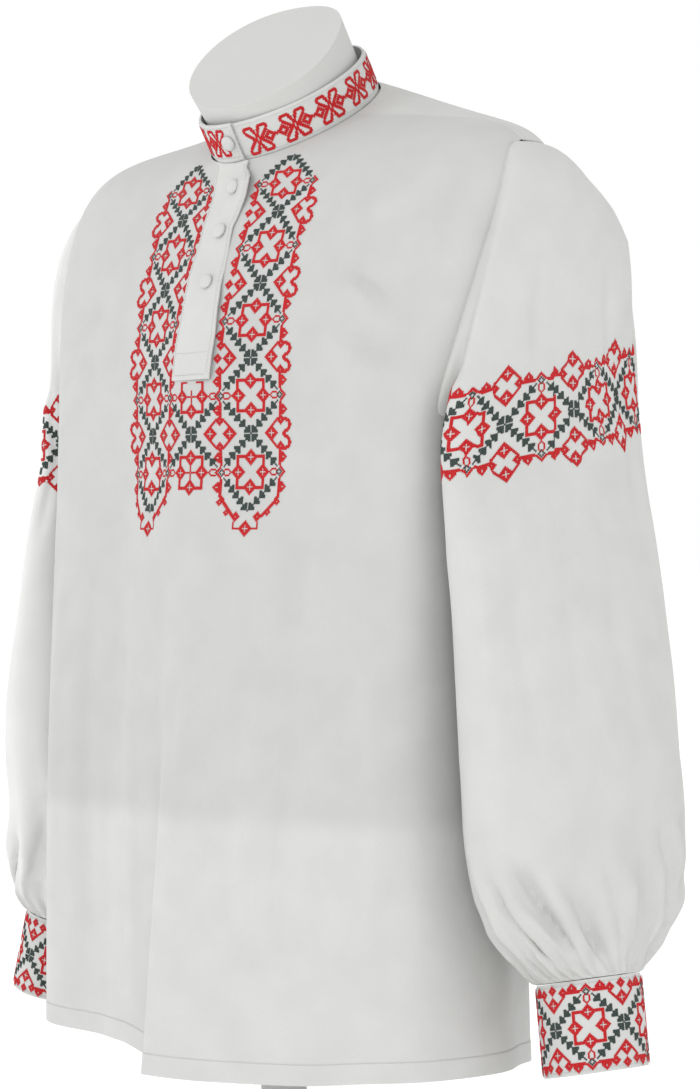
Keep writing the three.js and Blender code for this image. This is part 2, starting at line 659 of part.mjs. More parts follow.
function addButton(name, { p, n }) {
  const mesh = addPiece(name, buttonGeometry(), coveredButton());
  mesh.quaternion.setFromUnitVectors(new THREE.Vector3(0, 1, 0), n);
  mesh.position.copy(p).addScaledVector(n, TOUCH_GAP);
}

const frontGrid = frontRows();
const collarGrid = collarRows();
const topLift = (across, along) => CLOTH + TOUCH_GAP + freeEdgeLift(across, along);
const placketGrid = stripRows(frontGrid, -PLACKET_HALF, PLACKET_HALF, topLift);
const UNDER_STRIP = { fromX: -18, toX: 20 };
const underGrid = stripRows(frontGrid, UNDER_STRIP.fromX, UNDER_STRIP.toX, () => -CLOTH - TOUCH_GAP);

addPiece('front', frontGeometry(frontGrid), linen());
addPiece('back', backGeometry(), linen());
addPiece('collar', wallGeometry(collarGrid, { thickness: BAND_CLOTH }), linen());
addButton('collar_button', onGrid(collarGrid, COLLAR_BUTTON_AT, 0.5));
addPiece('placket', wallGeometry(placketGrid, { thickness: CLOTH }), linen());
addPiece('placket_under', wallGeometry(underGrid, { thickness: CLOTH }), linen());

// The right cuff hangs a little further out than the left one.
const SIDES = [{ name: 'left', side: 1, swing: 0 }, { name: 'right', side: -1, swing: 14 }];
for (const { name, side, swing } of SIDES) {
  const cuff = cuffRows(side, swing);
  addPiece(`sleeve_${name}`, sleeveGeometry(side, swing), linen());
  addPiece(`cuff_${name}`, wallGeometry(cuff, { thickness: BAND_CLOTH }), linen());
  addButton(`cuff_button_${name}`, onGrid(cuff, side > 0 ? CUFF_BUTTON_AT : 1 - CUFF_BUTTON_AT, 0.5));
}

const BUTTONS_ALONG = [0.82, 0.55, 0.32];
const BUTTONS_ACROSS = 0.62;
BUTTONS_ALONG.forEach((along, i) => {
  addButton(`placket_button_${i + 1}`, onGrid(placketGrid, BUTTONS_ACROSS, along));
});

addPiece('form_torso', formGeometry(), formSkin());
addPiece('form_pole', poleGeometry(), paintedSteel());
addPiece('form_base', baseGeometry(), paintedSteel());

export default shirt;
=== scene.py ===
"""A man's folk shirt on a dress form: its cloth, sewing, embroidery, floor and light.

Lengths are in millimetres until a mesh is made. The wearer faces -Y and the wearer's left is +X.
"""
import math

import bpy
import numpy as np
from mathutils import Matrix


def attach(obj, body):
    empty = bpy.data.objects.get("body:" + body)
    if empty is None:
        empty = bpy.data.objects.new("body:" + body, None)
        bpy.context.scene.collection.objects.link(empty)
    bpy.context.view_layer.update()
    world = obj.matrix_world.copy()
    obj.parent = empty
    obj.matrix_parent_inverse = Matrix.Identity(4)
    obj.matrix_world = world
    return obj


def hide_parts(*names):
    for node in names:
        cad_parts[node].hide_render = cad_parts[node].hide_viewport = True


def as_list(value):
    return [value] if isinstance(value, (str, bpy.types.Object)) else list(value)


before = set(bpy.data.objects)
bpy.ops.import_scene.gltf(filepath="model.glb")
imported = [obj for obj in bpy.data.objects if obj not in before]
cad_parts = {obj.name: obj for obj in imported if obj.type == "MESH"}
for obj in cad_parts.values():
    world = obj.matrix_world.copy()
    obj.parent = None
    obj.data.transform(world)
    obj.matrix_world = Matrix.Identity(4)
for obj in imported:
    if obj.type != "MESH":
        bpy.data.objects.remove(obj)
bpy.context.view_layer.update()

MM = 0.001

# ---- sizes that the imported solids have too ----
CLOTH = 1.6
BAND_CLOTH = 2.4
SHOULDER_W = 0.5
COLLAR_HEIGHT = 29
COLLAR_LAP = 11
CUFF_HEIGHT = 65
CUFF_RADIUS = 37.5
CUFF_LAP = 0.3
PLACKET_HALF = 22
PLACKET_BOTTOM_V = 1.05
PLACKET_TOP_V = 1.955
SLIT_HALF = 7
TOUCH_GAP = 0.3
FORM_CLEARANCE = 0.6
FORM_BOTTOM = 258
BASE_HEIGHT = 12

# ---- sizes of the visible cloth ----
SHIRT_CLOTH = 0.7          # one layer
LOWER_LENGTH = 490         # cloth from the hem to the underarm
HEM_DEPTH = 17.5           # turned-up hem, edge to stitch line
TOPSTITCH = 2.2            # topstitching lies this far inside an edge


def smooth(t):
    t = np.clip(t, 0, 1)
    return t * t * (3 - 2 * t)


def bell(x, width):
    return np.exp(-((x / width) ** 2))


def table(columns, *rows):
    """A list of dicts from rows of values, with the columns' names given once."""
    return [dict(zip(columns.split(), row)) for row in rows]


def rounded_edge(distance, radius):
    """How far a surface turns down at this distance from its edge, along an arc."""
    inside = np.clip(radius - distance, 0, radius)
    return radius - np.sqrt(radius ** 2 - inside ** 2)


# ---- sections of the body ----
LOWER = table("z half mid front back n_front n_back beak",
    (92, 215, 0, 150, 150, 2.2, 2.2, 0),
    (282, 213, -10, 116, 155, 2.6, 2.2, 6),
    (500, 209, -28, 63, 163, 3.4, 2.2, 16),
    (590, 209, -30, 48, 164, 4.0, 2.2, 18),
)
YOKE = table("half mid front back n_front n_back beak z_f z_s z_b",
    (209, -30, 48, 164, 4.0, 2.2, 18, 590, 575, 590),
    (277, 40, 114, 114, 2.6, 2.4, 14, 694, 820, 715),
    (236, 40, 82, 66, 2.2, 2.2, 2, 742, 783, 826),
    (68, 12, 62, 62, 2, 2, 0, 771, 807, 843),
)
NECK = YOKE[3]
NECK_SLOPE = 0.58
BEAK_WIDTH = 60
SIDE_DROP = 15
FOLD = dict(ridge_x=12, steep_x=-22, flat_x=-95, end_x=-190, depth=40, top_z=520, bottom_z=130)
TROUGHS = table("angle width depth top",
    (30, 12, 5, 420),
    (58, 10, 7, 380),
    (112, 11, 9, 470),
    (138, 9, 12, 560),
    (163, 10, 8, 500),
    (188, 8, 13, 590),
    (214, 11, 9, 480),
    (240, 9, 11, 520),
    (262, 8, 5, 400),
)
HEM_LIFT = dict(sides=7, right=11)


def section_point(s, angle):
    at_front = np.cos(angle) > 0
    n = np.where(at_front, s["n_front"], s["n_back"])
    depth = np.where(at_front, s["front"], s["back"])
    x = s["half"] * np.sin(angle)
    reach = depth * np.maximum(0, 1 - np.abs(np.sin(angle)) ** n) ** (1 / n)
    y = np.where(at_front, s["mid"] - reach - s["beak"] * bell(x, BEAK_WIDTH), s["mid"] + reach)
    return x, y


def mix_sections(table, z):
    """The table's columns at each height, on smooth curves through its rows."""
    heights = np.array([row["z"] for row in table])
    i = np.clip(np.searchsorted(heights[1:-1], z, side="left"), 0, len(table) - 2)
    t = np.clip((z - heights[i]) / (heights[i + 1] - heights[i]), 0, 1)
    mixed = {}
    for key in table[0]:
        column = np.array([row[key] for row in table], float)
        a, b = column[i], column[i + 1]
        before = column[np.maximum(i - 1, 0)]
        after = column[np.minimum(i + 2, len(table) - 1)]
        slope_a = np.where(i > 0, (b - before) / 2, b - a)
        slope_b = np.where(i < len(table) - 2, (after - a) / 2, b - a)
        mixed[key] = (
            (2 * t ** 3 - 3 * t ** 2 + 1) * a + (t ** 3 - 2 * t ** 2 + t) * slope_a
            + (3 * t ** 2 - 2 * t ** 3) * b + (t ** 3 - t ** 2) * slope_b
        )
    return mixed


def fold_depth(x, z):
    fade = smooth((FOLD["top_z"] - z) / (FOLD["top_z"] - FOLD["bottom_z"]))
    steep = (FOLD["ridge_x"] - x) / (FOLD["ridge_x"] - FOLD["steep_x"])
    flat = (x - FOLD["end_x"]) / (FOLD["flat_x"] - FOLD["end_x"])
    return FOLD["depth"] * fade * smooth(np.where(x > FOLD["flat_x"], steep, flat))


def trough_depth(angle, z):
    turn = np.degrees(angle) % 360
    depth = 0
    for t in TROUGHS:
        fade = smooth((t["top"] - z) / (t["top"] - LOWER[0]["z"]))
        depth = depth + t["depth"] * fade * bell(turn - t["angle"], t["width"])
    return depth


def hem_height(angle):
    right = smooth(np.maximum(0, -np.sin(angle)) * 3) * smooth(1 + np.cos(angle))
    return LOWER[0]["z"] + HEM_LIFT["sides"] * np.sin(angle) ** 2 + HEM_LIFT["right"] * right


def lower_point(angle, v):
    top = LOWER[-1]["z"] - SIDE_DROP * np.sin(angle) ** 2
    bottom = hem_height(angle)
    z = bottom + (top - bottom) * v
    section_z = LOWER[0]["z"] + (LOWER[-1]["z"] - LOWER[0]["z"]) * v
    x, y = section_point(mix_sections(LOWER, section_z), angle)
    keep = 1 - trough_depth(angle, z) / np.hypot(x, y)
    recess = np.where(np.cos(angle) > 0, fold_depth(x, z), 0)
    return np.stack([x * keep, y * keep + recess, z], -1)


def yoke_point(angle, w):
    side = np.sin(angle) ** 2
    corners = []
    for i, s in enumerate(YOKE):
        x, y = section_point(s, angle)
        end = np.where(np.cos(angle) > 0, s["z_f"], s["z_b"])
        z = end + (s["z_s"] - end) * side
        if i == len(YOKE) - 1:
            z = s["z_f"] + NECK_SLOPE * (y - (s["mid"] - s["front"]))
        corners.append(np.stack([x, y, z], -1))
    return bezier(corners, np.clip(w, 0, 1))


def bezier(corners, t):
    t = np.asarray(t)[..., None]
    a, b, c, d = corners
    return (1 - t) ** 3 * a + 3 * (1 - t) ** 2 * t * b + 3 * (1 - t) * t ** 2 * c + t ** 3 * d


def body_point(angle, v):
    """Point of the body.

    angle is 0 at the middle of the front. v is 0 at the hem, 1 at the underarm and 2 at the neck.
    """
    angle, v = np.broadcast_arrays(np.asarray(angle, float), np.asarray(v, float))
    points = np.empty(angle.shape + (3,))
    low = v <= 1
    points[low] = lower_point(angle[low], v[low])
    points[~low] = yoke_point(angle[~low], v[~low] - 1)
    return points


def surface_normal(point, a, b, da, db):
    along_a = point(a + da, b) - point(a - da, b)
    along_b = point(a, b + db) - point(a, b - db)
    n = np.cross(along_a, along_b)
    return n / np.maximum(np.linalg.norm(n, axis=-1, keepdims=True), 1e-9)


def body_normal(angle, v):
    return surface_normal(body_point, angle, np.clip(v, 0.004, 1.996), 0.004, 0.004)


# ---- armhole and panel edges ----
ARMHOLE = dict(front_width=math.radians(9.5), back_width=math.radians(30), squareness=0.75)


def armhole_params(turn):
    """turn 0 is the shoulder point, 90 degrees the front, 180 the underarm, 270 the back."""
    w = SHOULDER_W * (1 + np.cos(turn)) / 2
    width = np.where(np.sin(turn) > 0, -ARMHOLE["front_width"], ARMHOLE["back_width"])
    return math.pi / 2 + width * np.abs(np.sin(turn)) ** ARMHOLE["squareness"], w


def panel_edge(v, is_front):
    w = np.clip((v - 1) / SHOULDER_W, 0, 1)
    angle, _ = armhole_params(np.arccos(w * 2 - 1) * (1 if is_front else -1))
    angle = angle if is_front else math.pi - angle
    return np.where((v <= 1) | (v >= 1 + SHOULDER_W), math.pi / 2, angle)


# ---- sleeves ----
SLEEVE = table("z x y half_x half_y gather",
    (545, 232, 48, 25, 99, 0),
    (451, 248, 42, 34, 103, 0),
    (330, 262, 41, 46, 104, 0.3),
    (268, 265, 44, 47, 104, 1.6),
    (232, 271, 43, 46, 95, 3.6),
    (210, 276, 40, 43, 82, 4.6),
    (194, 281, 37, 39, 66, 4.0),
    (182, 284, 34, 37, 48, 2.4),
    (175, 286, 33, 36.4, 36.4, 0.6),
)
GATHERS = 12
SLEEVE_TILT = 0.2
TILT_FROM_Z = 240
TILT_LENGTH = 70
SWING_FROM_Z = 225
SWING_LENGTH = 50
SWING_DIP = dict(z=262, width=62, share=0.7)
# How the sleeve's head leaves the armhole (out: X, Y, Z) and arrives at the first section (down), by side.
HEAD = dict(
    top=dict(out=(38, 16, -2), down=130),
    front=dict(out=(20, -6, -6), down=44),
    under=dict(out=(4, 0, -3), down=8),
    back=dict(out=(34, 70, 4), down=40),
)
# Each sleeve is fuller or, below zero, flatter round one turn: heights, and millimetres out at each.
FULLNESS_WIDTH = 46        # degrees
FULLNESS_LEFT = dict(
    turn=-48, heights=(440, 546, 569, 591, 614, 636, 659, 682, 704, 727, 750),
    out=(0, 0, -4, -7.5, -9.5, -8, -4, 1.5, 6, 4.5, 0),
)
FULLNESS_RIGHT = dict(
    turn=48, heights=(300, 436, 518, 560, 590, 625, 660, 690, 715, 735, 760),
    out=(0, -5, -8, -9, -9, -4, 4, 9, 9, 6, 0),
)
# The inner front stays full below the armhole.
INNER_FULLNESS = dict(turn=94, width=34, out=5.5, top_z=612, top_fade=24, bottom_z=420, bottom_fade=110)
SIDES = table("name side swing fullness", ("left", 1, 0, FULLNESS_LEFT), ("right", -1, 14, FULLNESS_RIGHT))


def gather_wave(turn):
    height = 0.8 + 0.3 * np.sin(3 * turn + 1)
    return np.sin(GATHERS * turn) * height + 0.25 * np.sin(5 * turn + 2)


def sleeve_section(z, turn, swing):
    s = mix_sections(SLEEVE[::-1], z)
    dip = SWING_DIP["share"] * bell(z - SWING_DIP["z"], SWING_DIP["width"])
    x_mid = s["x"] + swing * (smooth((SWING_FROM_Z - z) / SWING_LENGTH) - dip)
    ripple = s["gather"] * gather_wave(turn)
    x = x_mid + (s["half_x"] + ripple) * np.cos(turn)
    y = s["y"] - (s["half_y"] + ripple) * np.sin(turn)
    tilt = SLEEVE_TILT * smooth((TILT_FROM_Z - z) / TILT_LENGTH)
    return np.stack([x, y, z + tilt * (x - x_mid)], -1)


def mix_head(turn):
    share = (np.cos(turn) ** 2)[..., None]
    up = (np.cos(turn) > 0)[..., None]
    ahead = (np.sin(turn) > 0)[..., None]
    out_v = np.where(up, HEAD["top"]["out"], HEAD["under"]["out"])
    out_h = np.where(ahead, HEAD["front"]["out"], HEAD["back"]["out"])
    down_v = np.where(up, HEAD["top"]["down"], HEAD["under"]["down"])
    down_h = np.where(ahead, HEAD["front"]["down"], HEAD["back"]["down"])
    return out_v * share + out_h * (1 - share), (down_v * share + down_h * (1 - share))[..., 0]


def sleeve_head_point(turn, s):
    angle, w = armhole_params(turn)
    start = body_point(angle, 1 + w)
    out, down = mix_head(turn)
    end = sleeve_section(np.full_like(turn, SLEEVE[0]["z"]), turn, 0)
    arrive = end.copy()
    arrive[..., 2] += down
    return bezier([start, start + out, arrive, end], s)


def sleeve_point(turn, s, swing):
    """Point of the left sleeve. s is 0 at the armhole, 1 at the table's first section, 9 at the cuff."""
    turn, s = np.broadcast_arrays(np.asarray(turn, float), np.asarray(s, float))
    points = np.empty(turn.shape + (3,))
    head = s <= 1
    points[head] = sleeve_head_point(turn[head], s[head])
    i = np.clip(np.floor(s[~head] - 1).astype(int), 0, len(SLEEVE) - 2)
    heights = np.array([row["z"] for row in SLEEVE], float)
    z = heights[i] + (heights[i + 1] - heights[i]) * (s[~head] - 1 - i)
    points[~head] = sleeve_section(z, turn[~head], swing)
    return points


# ---- cuffs and collar ----
LAP_RISE = BAND_CLOTH + 0.5
CUFF_TOP = (286, 33, 174.4)
CUFF_AXIS = np.array([0.2, -0.08, -1]) / np.linalg.norm([0.2, -0.08, -1])
CUFF_OPENING = math.radians(262)
CUFF_LAP_START = 0.86
CUFF_BUTTON_AT = 0.965
COLLAR_UP = np.array([0, -NECK_SLOPE, 1]) / np.linalg.norm([0, -NECK_SLOPE, 1])
COLLAR_BUTTON_AT = 0.984
COLLAR_LAP_START = 0.9
COLLAR_LAP_RAMP = 0.045
COLLAR_SETBACK = 1.2
COLLAR_FOOT = 0.9


def cuff_point(t, h, swing):
    turn = CUFF_OPENING + (2 * math.pi + CUFF_LAP) * t
    radius = CUFF_RADIUS + LAP_RISE * smooth((t - CUFF_LAP_START) / (1 - CUFF_LAP_START) * 2)
    across = radius * np.cos(turn)
    x = CUFF_TOP[0] + swing + across
    y = CUFF_TOP[1] - radius * np.sin(turn)
    z = CUFF_TOP[2] + SLEEVE_TILT * across
    return np.stack([x, y, z], -1) + CUFF_AXIS * (CUFF_HEIGHT * np.asarray(h))[..., None]


def collar_point(t, h):
    lap_angle = COLLAR_LAP / (NECK["front"] + 4)
    angle = -lap_angle + (2 * math.pi + 2 * lap_angle) * t
    x, y = section_point(NECK, angle)
    z = NECK["z_f"] + NECK_SLOPE * (y - (NECK["mid"] - NECK["front"]))
    outward = np.stack([x, y - NECK["mid"], np.zeros_like(x)], -1)
    outward /= np.linalg.norm(outward, axis=-1, keepdims=True)
    rise = LAP_RISE * smooth((t - COLLAR_LAP_START) / COLLAR_LAP_RAMP) - COLLAR_SETBACK
    foot = np.stack([x, y, z], -1) + outward * rise[..., None]
    return foot + COLLAR_UP * (COLLAR_FOOT + COLLAR_HEIGHT * np.asarray(h))[..., None]


# ---- creases that the solids leave out ----
# Each is a path, the half width, and the depth (below zero a trough, above zero a ridge).
# On the front and back the path is in X and Z, on a sleeve in degrees of turn and Z.
FRONT_CREASES = table("path width depth",
    ([(-84, 600), (-88, 500), (-92, 380), (-92, 240)], 26, -8),
    ([(128, 690), (158, 672), (186, 650)], 8, -5.1),
    ([(138, 676), (172, 655)], 5, 3.3),
    ([(140, 636), (168, 628), (196, 618)], 8, -4.8),
    ([(150, 618), (190, 603)], 6, 3),
    ([(-196, 640), (-160, 652), (-126, 672)], 8, -4.5),
    ([(-198, 612), (-158, 622), (-128, 628)], 7, -3.6),
    ([(108, 560), (116, 430), (112, 300), (118, 110)], 13, -3.6),
    ([(96, 470), (92, 300), (97, 105)], 10, 3),
    ([(150, 520), (158, 360), (152, 150)], 12, -3.3),
    ([(60, 420), (52, 270), (58, 104)], 12, -3),
    ([(30, 470), (26, 330), (22, 104)], 9, 2.7),
    ([(176, 470), (184, 300), (178, 110)], 9, 2.7),
    ([(-118, 500), (-126, 340), (-122, 110)], 11, -3.6),
    ([(-160, 540), (-168, 360), (-164, 120)], 10, 3),
    ([(-60, 470), (-66, 330), (-58, 105)], 9, 2.4),
    ([(26, 560), (34, 540), (46, 500)], 7, -1.8),
    ([(-26, 560), (-40, 520), (-44, 470)], 8, -2.4),
)
BACK_CREASES = table("path width depth",
    ([(-150, 690), (-110, 672), (-60, 664)], 9, -4.5),
    ([(156, 696), (104, 676), (70, 670)], 8, -4.2),
    ([(-166, 640), (-120, 622), (-96, 600)], 8, -3.6),
    ([(168, 632), (130, 618), (100, 590)], 9, -3.9),
    ([(-74, 560), (-82, 400), (-76, 120)], 11, 3.3),
    ([(-28, 600), (-22, 420), (-30, 110)], 10, -3),
    ([(20, 540), (28, 380), (22, 115)], 9, 3),
    ([(70, 610), (64, 420), (72, 112)], 12, -3.6),
    ([(120, 520), (126, 330), (118, 120)], 9, 2.7),
    ([(-130, 500), (-124, 300), (-132, 118)], 10, -3.3),
)
SLEEVE_CREASES = table("path width depth",
    ([(338, 690), (330, 655), (325, 600)], 6, -2.6),
    ([(20, 700), (24, 640), (18, 590)], 6, -1.8),
    ([(40, 520), (44, 420), (38, 300)], 8, -2.0),
    ([(12, 530), (16, 400), (10, 280)], 7, -1.8),
    ([(344, 530), (350, 410), (342, 300)], 8, -2.2),
    ([(62, 500), (66, 400), (60, 290)], 9, 1.8),
    ([(318, 640), (312, 560), (318, 470)], 9, -3.0),
    ([(300, 560), (296, 440), (304, 320)], 9, 2.2),
    ([(100, 620), (110, 560), (104, 470)], 9, -2.6),
    ([(130, 540), (136, 430), (128, 320)], 9, 2.0),
    ([(84, 252), (78, 228), (60, 182)], 5, -6.5),
    ([(72, 262), (66, 236), (46, 190)], 5, 4.0),
    ([(62, 272), (52, 240), (38, 182)], 4.5, -6.0),
    ([(44, 262), (40, 232), (26, 190)], 5, 3.6),
    ([(34, 250), (26, 224), (20, 186)], 4.5, -5.0),
    ([(12, 268), (10, 238), (8, 184)], 5, -5.4),
    ([(0, 262), (358, 230), (356, 192)], 5.5, 4.2),
    ([(350, 274), (346, 238), (342, 184)], 5, -6.0),
    ([(338, 300), (332, 264), (326, 226), (332, 200)], 6, -5.5),
    ([(326, 292), (318, 262), (314, 232)], 6, 5.0),
    ([(312, 300), (306, 262), (312, 214)], 6, -5.0),
    ([(330, 214), (322, 206), (312, 212)], 4, 2.6),
    ([(286, 290), (278, 250), (288, 204)], 6, -3.6),
    ([(120, 270), (112, 236), (100, 196)], 6, -3.6),
    ([(160, 280), (150, 240), (146, 200)], 6, -3.2),
    ([(200, 290), (206, 250), (200, 204)], 7, -3.6),
    ([(240, 280), (246, 244), (240, 202)], 6, -3.2),
)
MM_PER_DEGREE = 1.3        # sideways scale of a sleeve's creases


def crease_depth(creases, across, up, period=None):
    total = np.zeros_like(across)
    for crease in creases:
        path = np.array(crease["path"], float)
        if period:
            path[:, 0] = np.unwrap(path[:, 0], period=period)
        scale = MM_PER_DEGREE if period else 1
        lengths = np.hypot(np.diff(path[:, 0]) * scale, np.diff(path[:, 1]))
        starts = np.concatenate([[0], np.cumsum(lengths)])
        best = np.full(across.shape, 1e9)
        along = np.zeros_like(across)
        for k in range(len(lengths)):
            (x0, z0), (x1, z1) = path[k], path[k + 1]
            dx = across - x0
            if period:
                dx = (dx + period / 2) % period - period / 2
            dx = dx * scale
            ux, uz = (x1 - x0) * scale / lengths[k], (z1 - z0) / lengths[k]
            t = np.clip(dx * ux + (up - z0) * uz, 0, lengths[k])
            distance = np.hypot(dx - t * ux, up - z0 - t * uz)
            closer = distance < best
            best = np.where(closer, distance, best)
            along = np.where(closer, (starts[k] + t) / starts[-1], along)
        taper = smooth(along * 3) * smooth((1 - along) * 3)
        total = total + crease["depth"] * taper * bell(best, crease["width"])
    return total


# ---- the surfaces that the cloth and the sewing share ----
CALM_FROM_V = 1.96         # no crease reaches above this, under the collar
CALM_OVER = 0.1            # the creases fade out over this much of v


def creased(creases):
    """The body's surface with these creases: a function that gives points and normals."""
    def cloth(angle, v):
        p, n = body_point(angle, v), body_normal(angle, v)
        depth = crease_depth(creases, p[..., 0], p[..., 2]) * smooth((CALM_FROM_V - v) / CALM_OVER)
        return p + n * depth[..., None], n

    return cloth


front_cloth = creased(FRONT_CREASES)
back_cloth = creased(BACK_CREASES)

PUCKERS = dict(count=31, depth=1.5, uneven=1.3, top_z=216, bottom_z=178)
# The small crumples above a cuff are crossed waves: count round the sleeve, and millimetres to a radian.
CRUMPLES = table("count_a mm_a count_b mm_b phase share", (7, 11, 4, -15, 1, 1), (11, -9, 3, 13, 0, 0.7))
CRUMPLE_DEPTH = 1.3
CRUMPLE_FADE = dict(top_z=300, top_length=70, bottom_z=176, bottom_length=20)


def degrees_from(turn, middle):
    """From a turn in degrees to turns in radians, the short way round."""
    return np.degrees(np.angle(np.exp(1j * (turn - math.radians(middle)))))


def crumple_depth(turn, z):
    total = 0
    for row in CRUMPLES:
        first = np.sin(row["count_a"] * turn + z / row["mm_a"])
        second = np.sin(row["count_b"] * turn + z / row["mm_b"] + row["phase"])
        total = total + row["share"] * first * second
    fade = CRUMPLE_FADE
    below = smooth((fade["top_z"] - z) / fade["top_length"])
    return total * CRUMPLE_DEPTH * below * smooth((z - fade["bottom_z"]) / fade["bottom_length"])


def fullness_depth(turn, z, side):
    inner = INNER_FULLNESS
    below = smooth((inner["top_z"] - z) / inner["top_fade"])
    above = smooth((z - inner["bottom_z"]) / inner["bottom_fade"])
    depth = inner["out"] * bell(degrees_from(turn, inner["turn"]), inner["width"]) * below * above
    full = side["fullness"]
    out = np.interp(z, full["heights"], full["out"])
    return depth + out * bell(degrees_from(turn, full["turn"]), FULLNESS_WIDTH)


def sleeve_cloth(turn, s, side):
    """side is a row of SIDES. The result is always the left sleeve, before it is mirrored."""
    turn, s = np.broadcast_arrays(np.asarray(turn, float), np.asarray(s, float))
    inside = np.clip(s, 0.01, len(SLEEVE) - 0.01)
    p = sleeve_point(turn, s, side["swing"])
    n = surface_normal(lambda a, b: sleeve_point(a, b, side["swing"]), turn, inside, 0.02, 0.01)
    z = p[..., 2]
    depth = crease_depth(SLEEVE_CREASES, np.degrees(turn) % 360, z, 360)
    depth = depth * smooth(s * 5) * smooth((len(SLEEVE) - s) * 1.2)
    depth = depth + fullness_depth(turn, z, side) + crumple_depth(turn, z)
    near_cuff = smooth((PUCKERS["top_z"] - z) / (PUCKERS["top_z"] - PUCKERS["bottom_z"]))
    pucker = np.sin(PUCKERS["count"] * turn + PUCKERS["uneven"] * np.sin(5 * turn)) * PUCKERS["depth"]
    return p + n * (depth + pucker * near_cuff * smooth((len(SLEEVE) - s) * 3))[..., None], n


def band_cloth(point, t, h):
    t, h = np.broadcast_arrays(np.asarray(t, float), np.asarray(h, float))
    return point(t, h), surface_normal(point, t, h, 0.003, 0.01)


def cuff_cloth(t, h, swing):
    return band_cloth(lambda a, b: cuff_point(a, b, swing), t, h)


def collar_cloth(t, h):
    return band_cloth(collar_point, t, h)


def flip(points, normals, side):
    """Mirrors a left piece to the wearer's right where side is -1."""
    turned = np.array([side, 1, 1])
    return points * turned, normals * turned


GUESS = dict(half_width=235, yoke_height=190)  # the first guess, which the steps then correct


def find_on_front(x, z):
    """Angle and v of the front's point at this X and Z."""
    x, z = np.broadcast_arrays(np.asarray(x, float), np.asarray(z, float))
    low, high = LOWER[0]["z"], LOWER[-1]["z"]
    angle = np.arcsin(np.clip(x / GUESS["half_width"], -0.98, 0.98))
    v = np.where(z > high, 1 + (z - high) / GUESS["yoke_height"], (z - low) / (high - low))
    step = 1e-4
    for _ in range(14):
        p = body_point(angle, v)
        by_angle = (body_point(angle + step, v) - p) / step
        by_v = (body_point(angle, v + step) - p) / step
        dx, dz = x - p[..., 0], z - p[..., 2]
        det = by_angle[..., 0] * by_v[..., 2] - by_v[..., 0] * by_angle[..., 2]
        det = np.where(np.abs(det) < 1e-6, 1e-6, det)
        angle = angle + np.clip((dx * by_v[..., 2] - by_v[..., 0] * dz) / det, -0.2, 0.2)
        v = np.clip(v + np.clip((by_angle[..., 0] * dz - dx * by_angle[..., 2]) / det, -0.2, 0.2), 0, 2)
    return angle, v


# ---- meshes ----
SHARP_ANGLE = math.radians(50)


def make_object(name, points, faces, material, smooth_faces=True):
    mesh = bpy.data.meshes.new(name)
    mesh.from_pydata((points * MM).tolist(), [], faces)
    mesh.materials.append(material)
    mesh.polygons.foreach_set("use_smooth", np.full(len(mesh.polygons), smooth_faces))
    mesh.update()
    if smooth_faces:
        mesh.set_sharp_from_angle(angle=SHARP_ANGLE)
    obj = bpy.data.objects.new(name, mesh)
    bpy.context.scene.collection.objects.link(obj)
    return obj


def add_weave(mesh, corner_lengths):
    """Stores each corner's place on the flat cloth, in millimetres, for the weave."""
    layer = mesh.attributes.new("weave", "FLOAT_VECTOR", "CORNER")
    flat = np.zeros((len(corner_lengths), 3), np.float32)
    flat[:, :2] = corner_lengths
    layer.data.foreach_set("vector", flat.ravel())


def shell(name, points, normals, thickness, material, wrap=False, keep=None, reverse=False):
    """A closed wall from a grid of outer points: rows by columns."""
    rows, cols = points.shape[:2]
    last = cols if wrap else cols - 1
    cells = np.ones((rows - 1, last), bool) if keep is None else keep
    outer = points.reshape(-1, 3)
    verts = np.concatenate([outer, outer - normals.reshape(-1, 3) * thickness])
    half = rows * cols
    r, c = np.nonzero(cells)
    corners = {"a": (r, c), "b": (r, c + 1), "e": (r + 1, c + 1), "f": (r + 1, c)}
    index = {key: row * cols + col % cols for key, (row, col) in corners.items()}
    up = np.pad(cells, ((1, 1), (0, 0)))
    if wrap:
        left, right = ~cells[r, (c - 1) % last], ~cells[r, (c + 1) % last]
    else:
        across = np.pad(cells, ((0, 0), (1, 1)))
        left, right = ~across[r, c], ~across[r, c + 2]
    everywhere = np.ones(len(r), bool)
    groups = [
        (everywhere, "abef", "0000"), (everywhere, "afeb", "1111"),
        (~up[r, c], "aabb", "0110"), (~up[r + 2, c], "feef", "0011"),
        (left, "affa", "0011"), (right, "bbee", "0110"),
    ]
    columns = np.concatenate([points, points[:, :1]], 1) if wrap else points
    across_mm = np.linalg.norm(np.diff(columns, axis=1), axis=2).mean(0)
    along_mm = np.linalg.norm(np.diff(points, axis=0), axis=2).mean(1)
    across_mm = np.concatenate([[0], np.cumsum(across_mm)])
    along_mm = np.concatenate([[0], np.cumsum(along_mm)])
    faces, flat = [], []
    for chosen, keys, layers in groups:
        if reverse:
            keys, layers = keys[::-1], layers[::-1]
        faces.append(np.stack([index[k][chosen] + half * int(n) for k, n in zip(keys, layers)], 1))
        flat.append(np.stack([
            np.stack([across_mm[corners[k][1][chosen]], along_mm[corners[k][0][chosen]]], 1) for k in keys
        ], 1))
    faces = np.concatenate(faces)
    used, faces = np.unique(faces, return_inverse=True)
    faces = faces.reshape(-1, 4)
    obj = make_object(name, verts[used], faces.tolist(), material)
    add_weave(obj.data, np.concatenate(flat).reshape(-1, 2))
    return obj


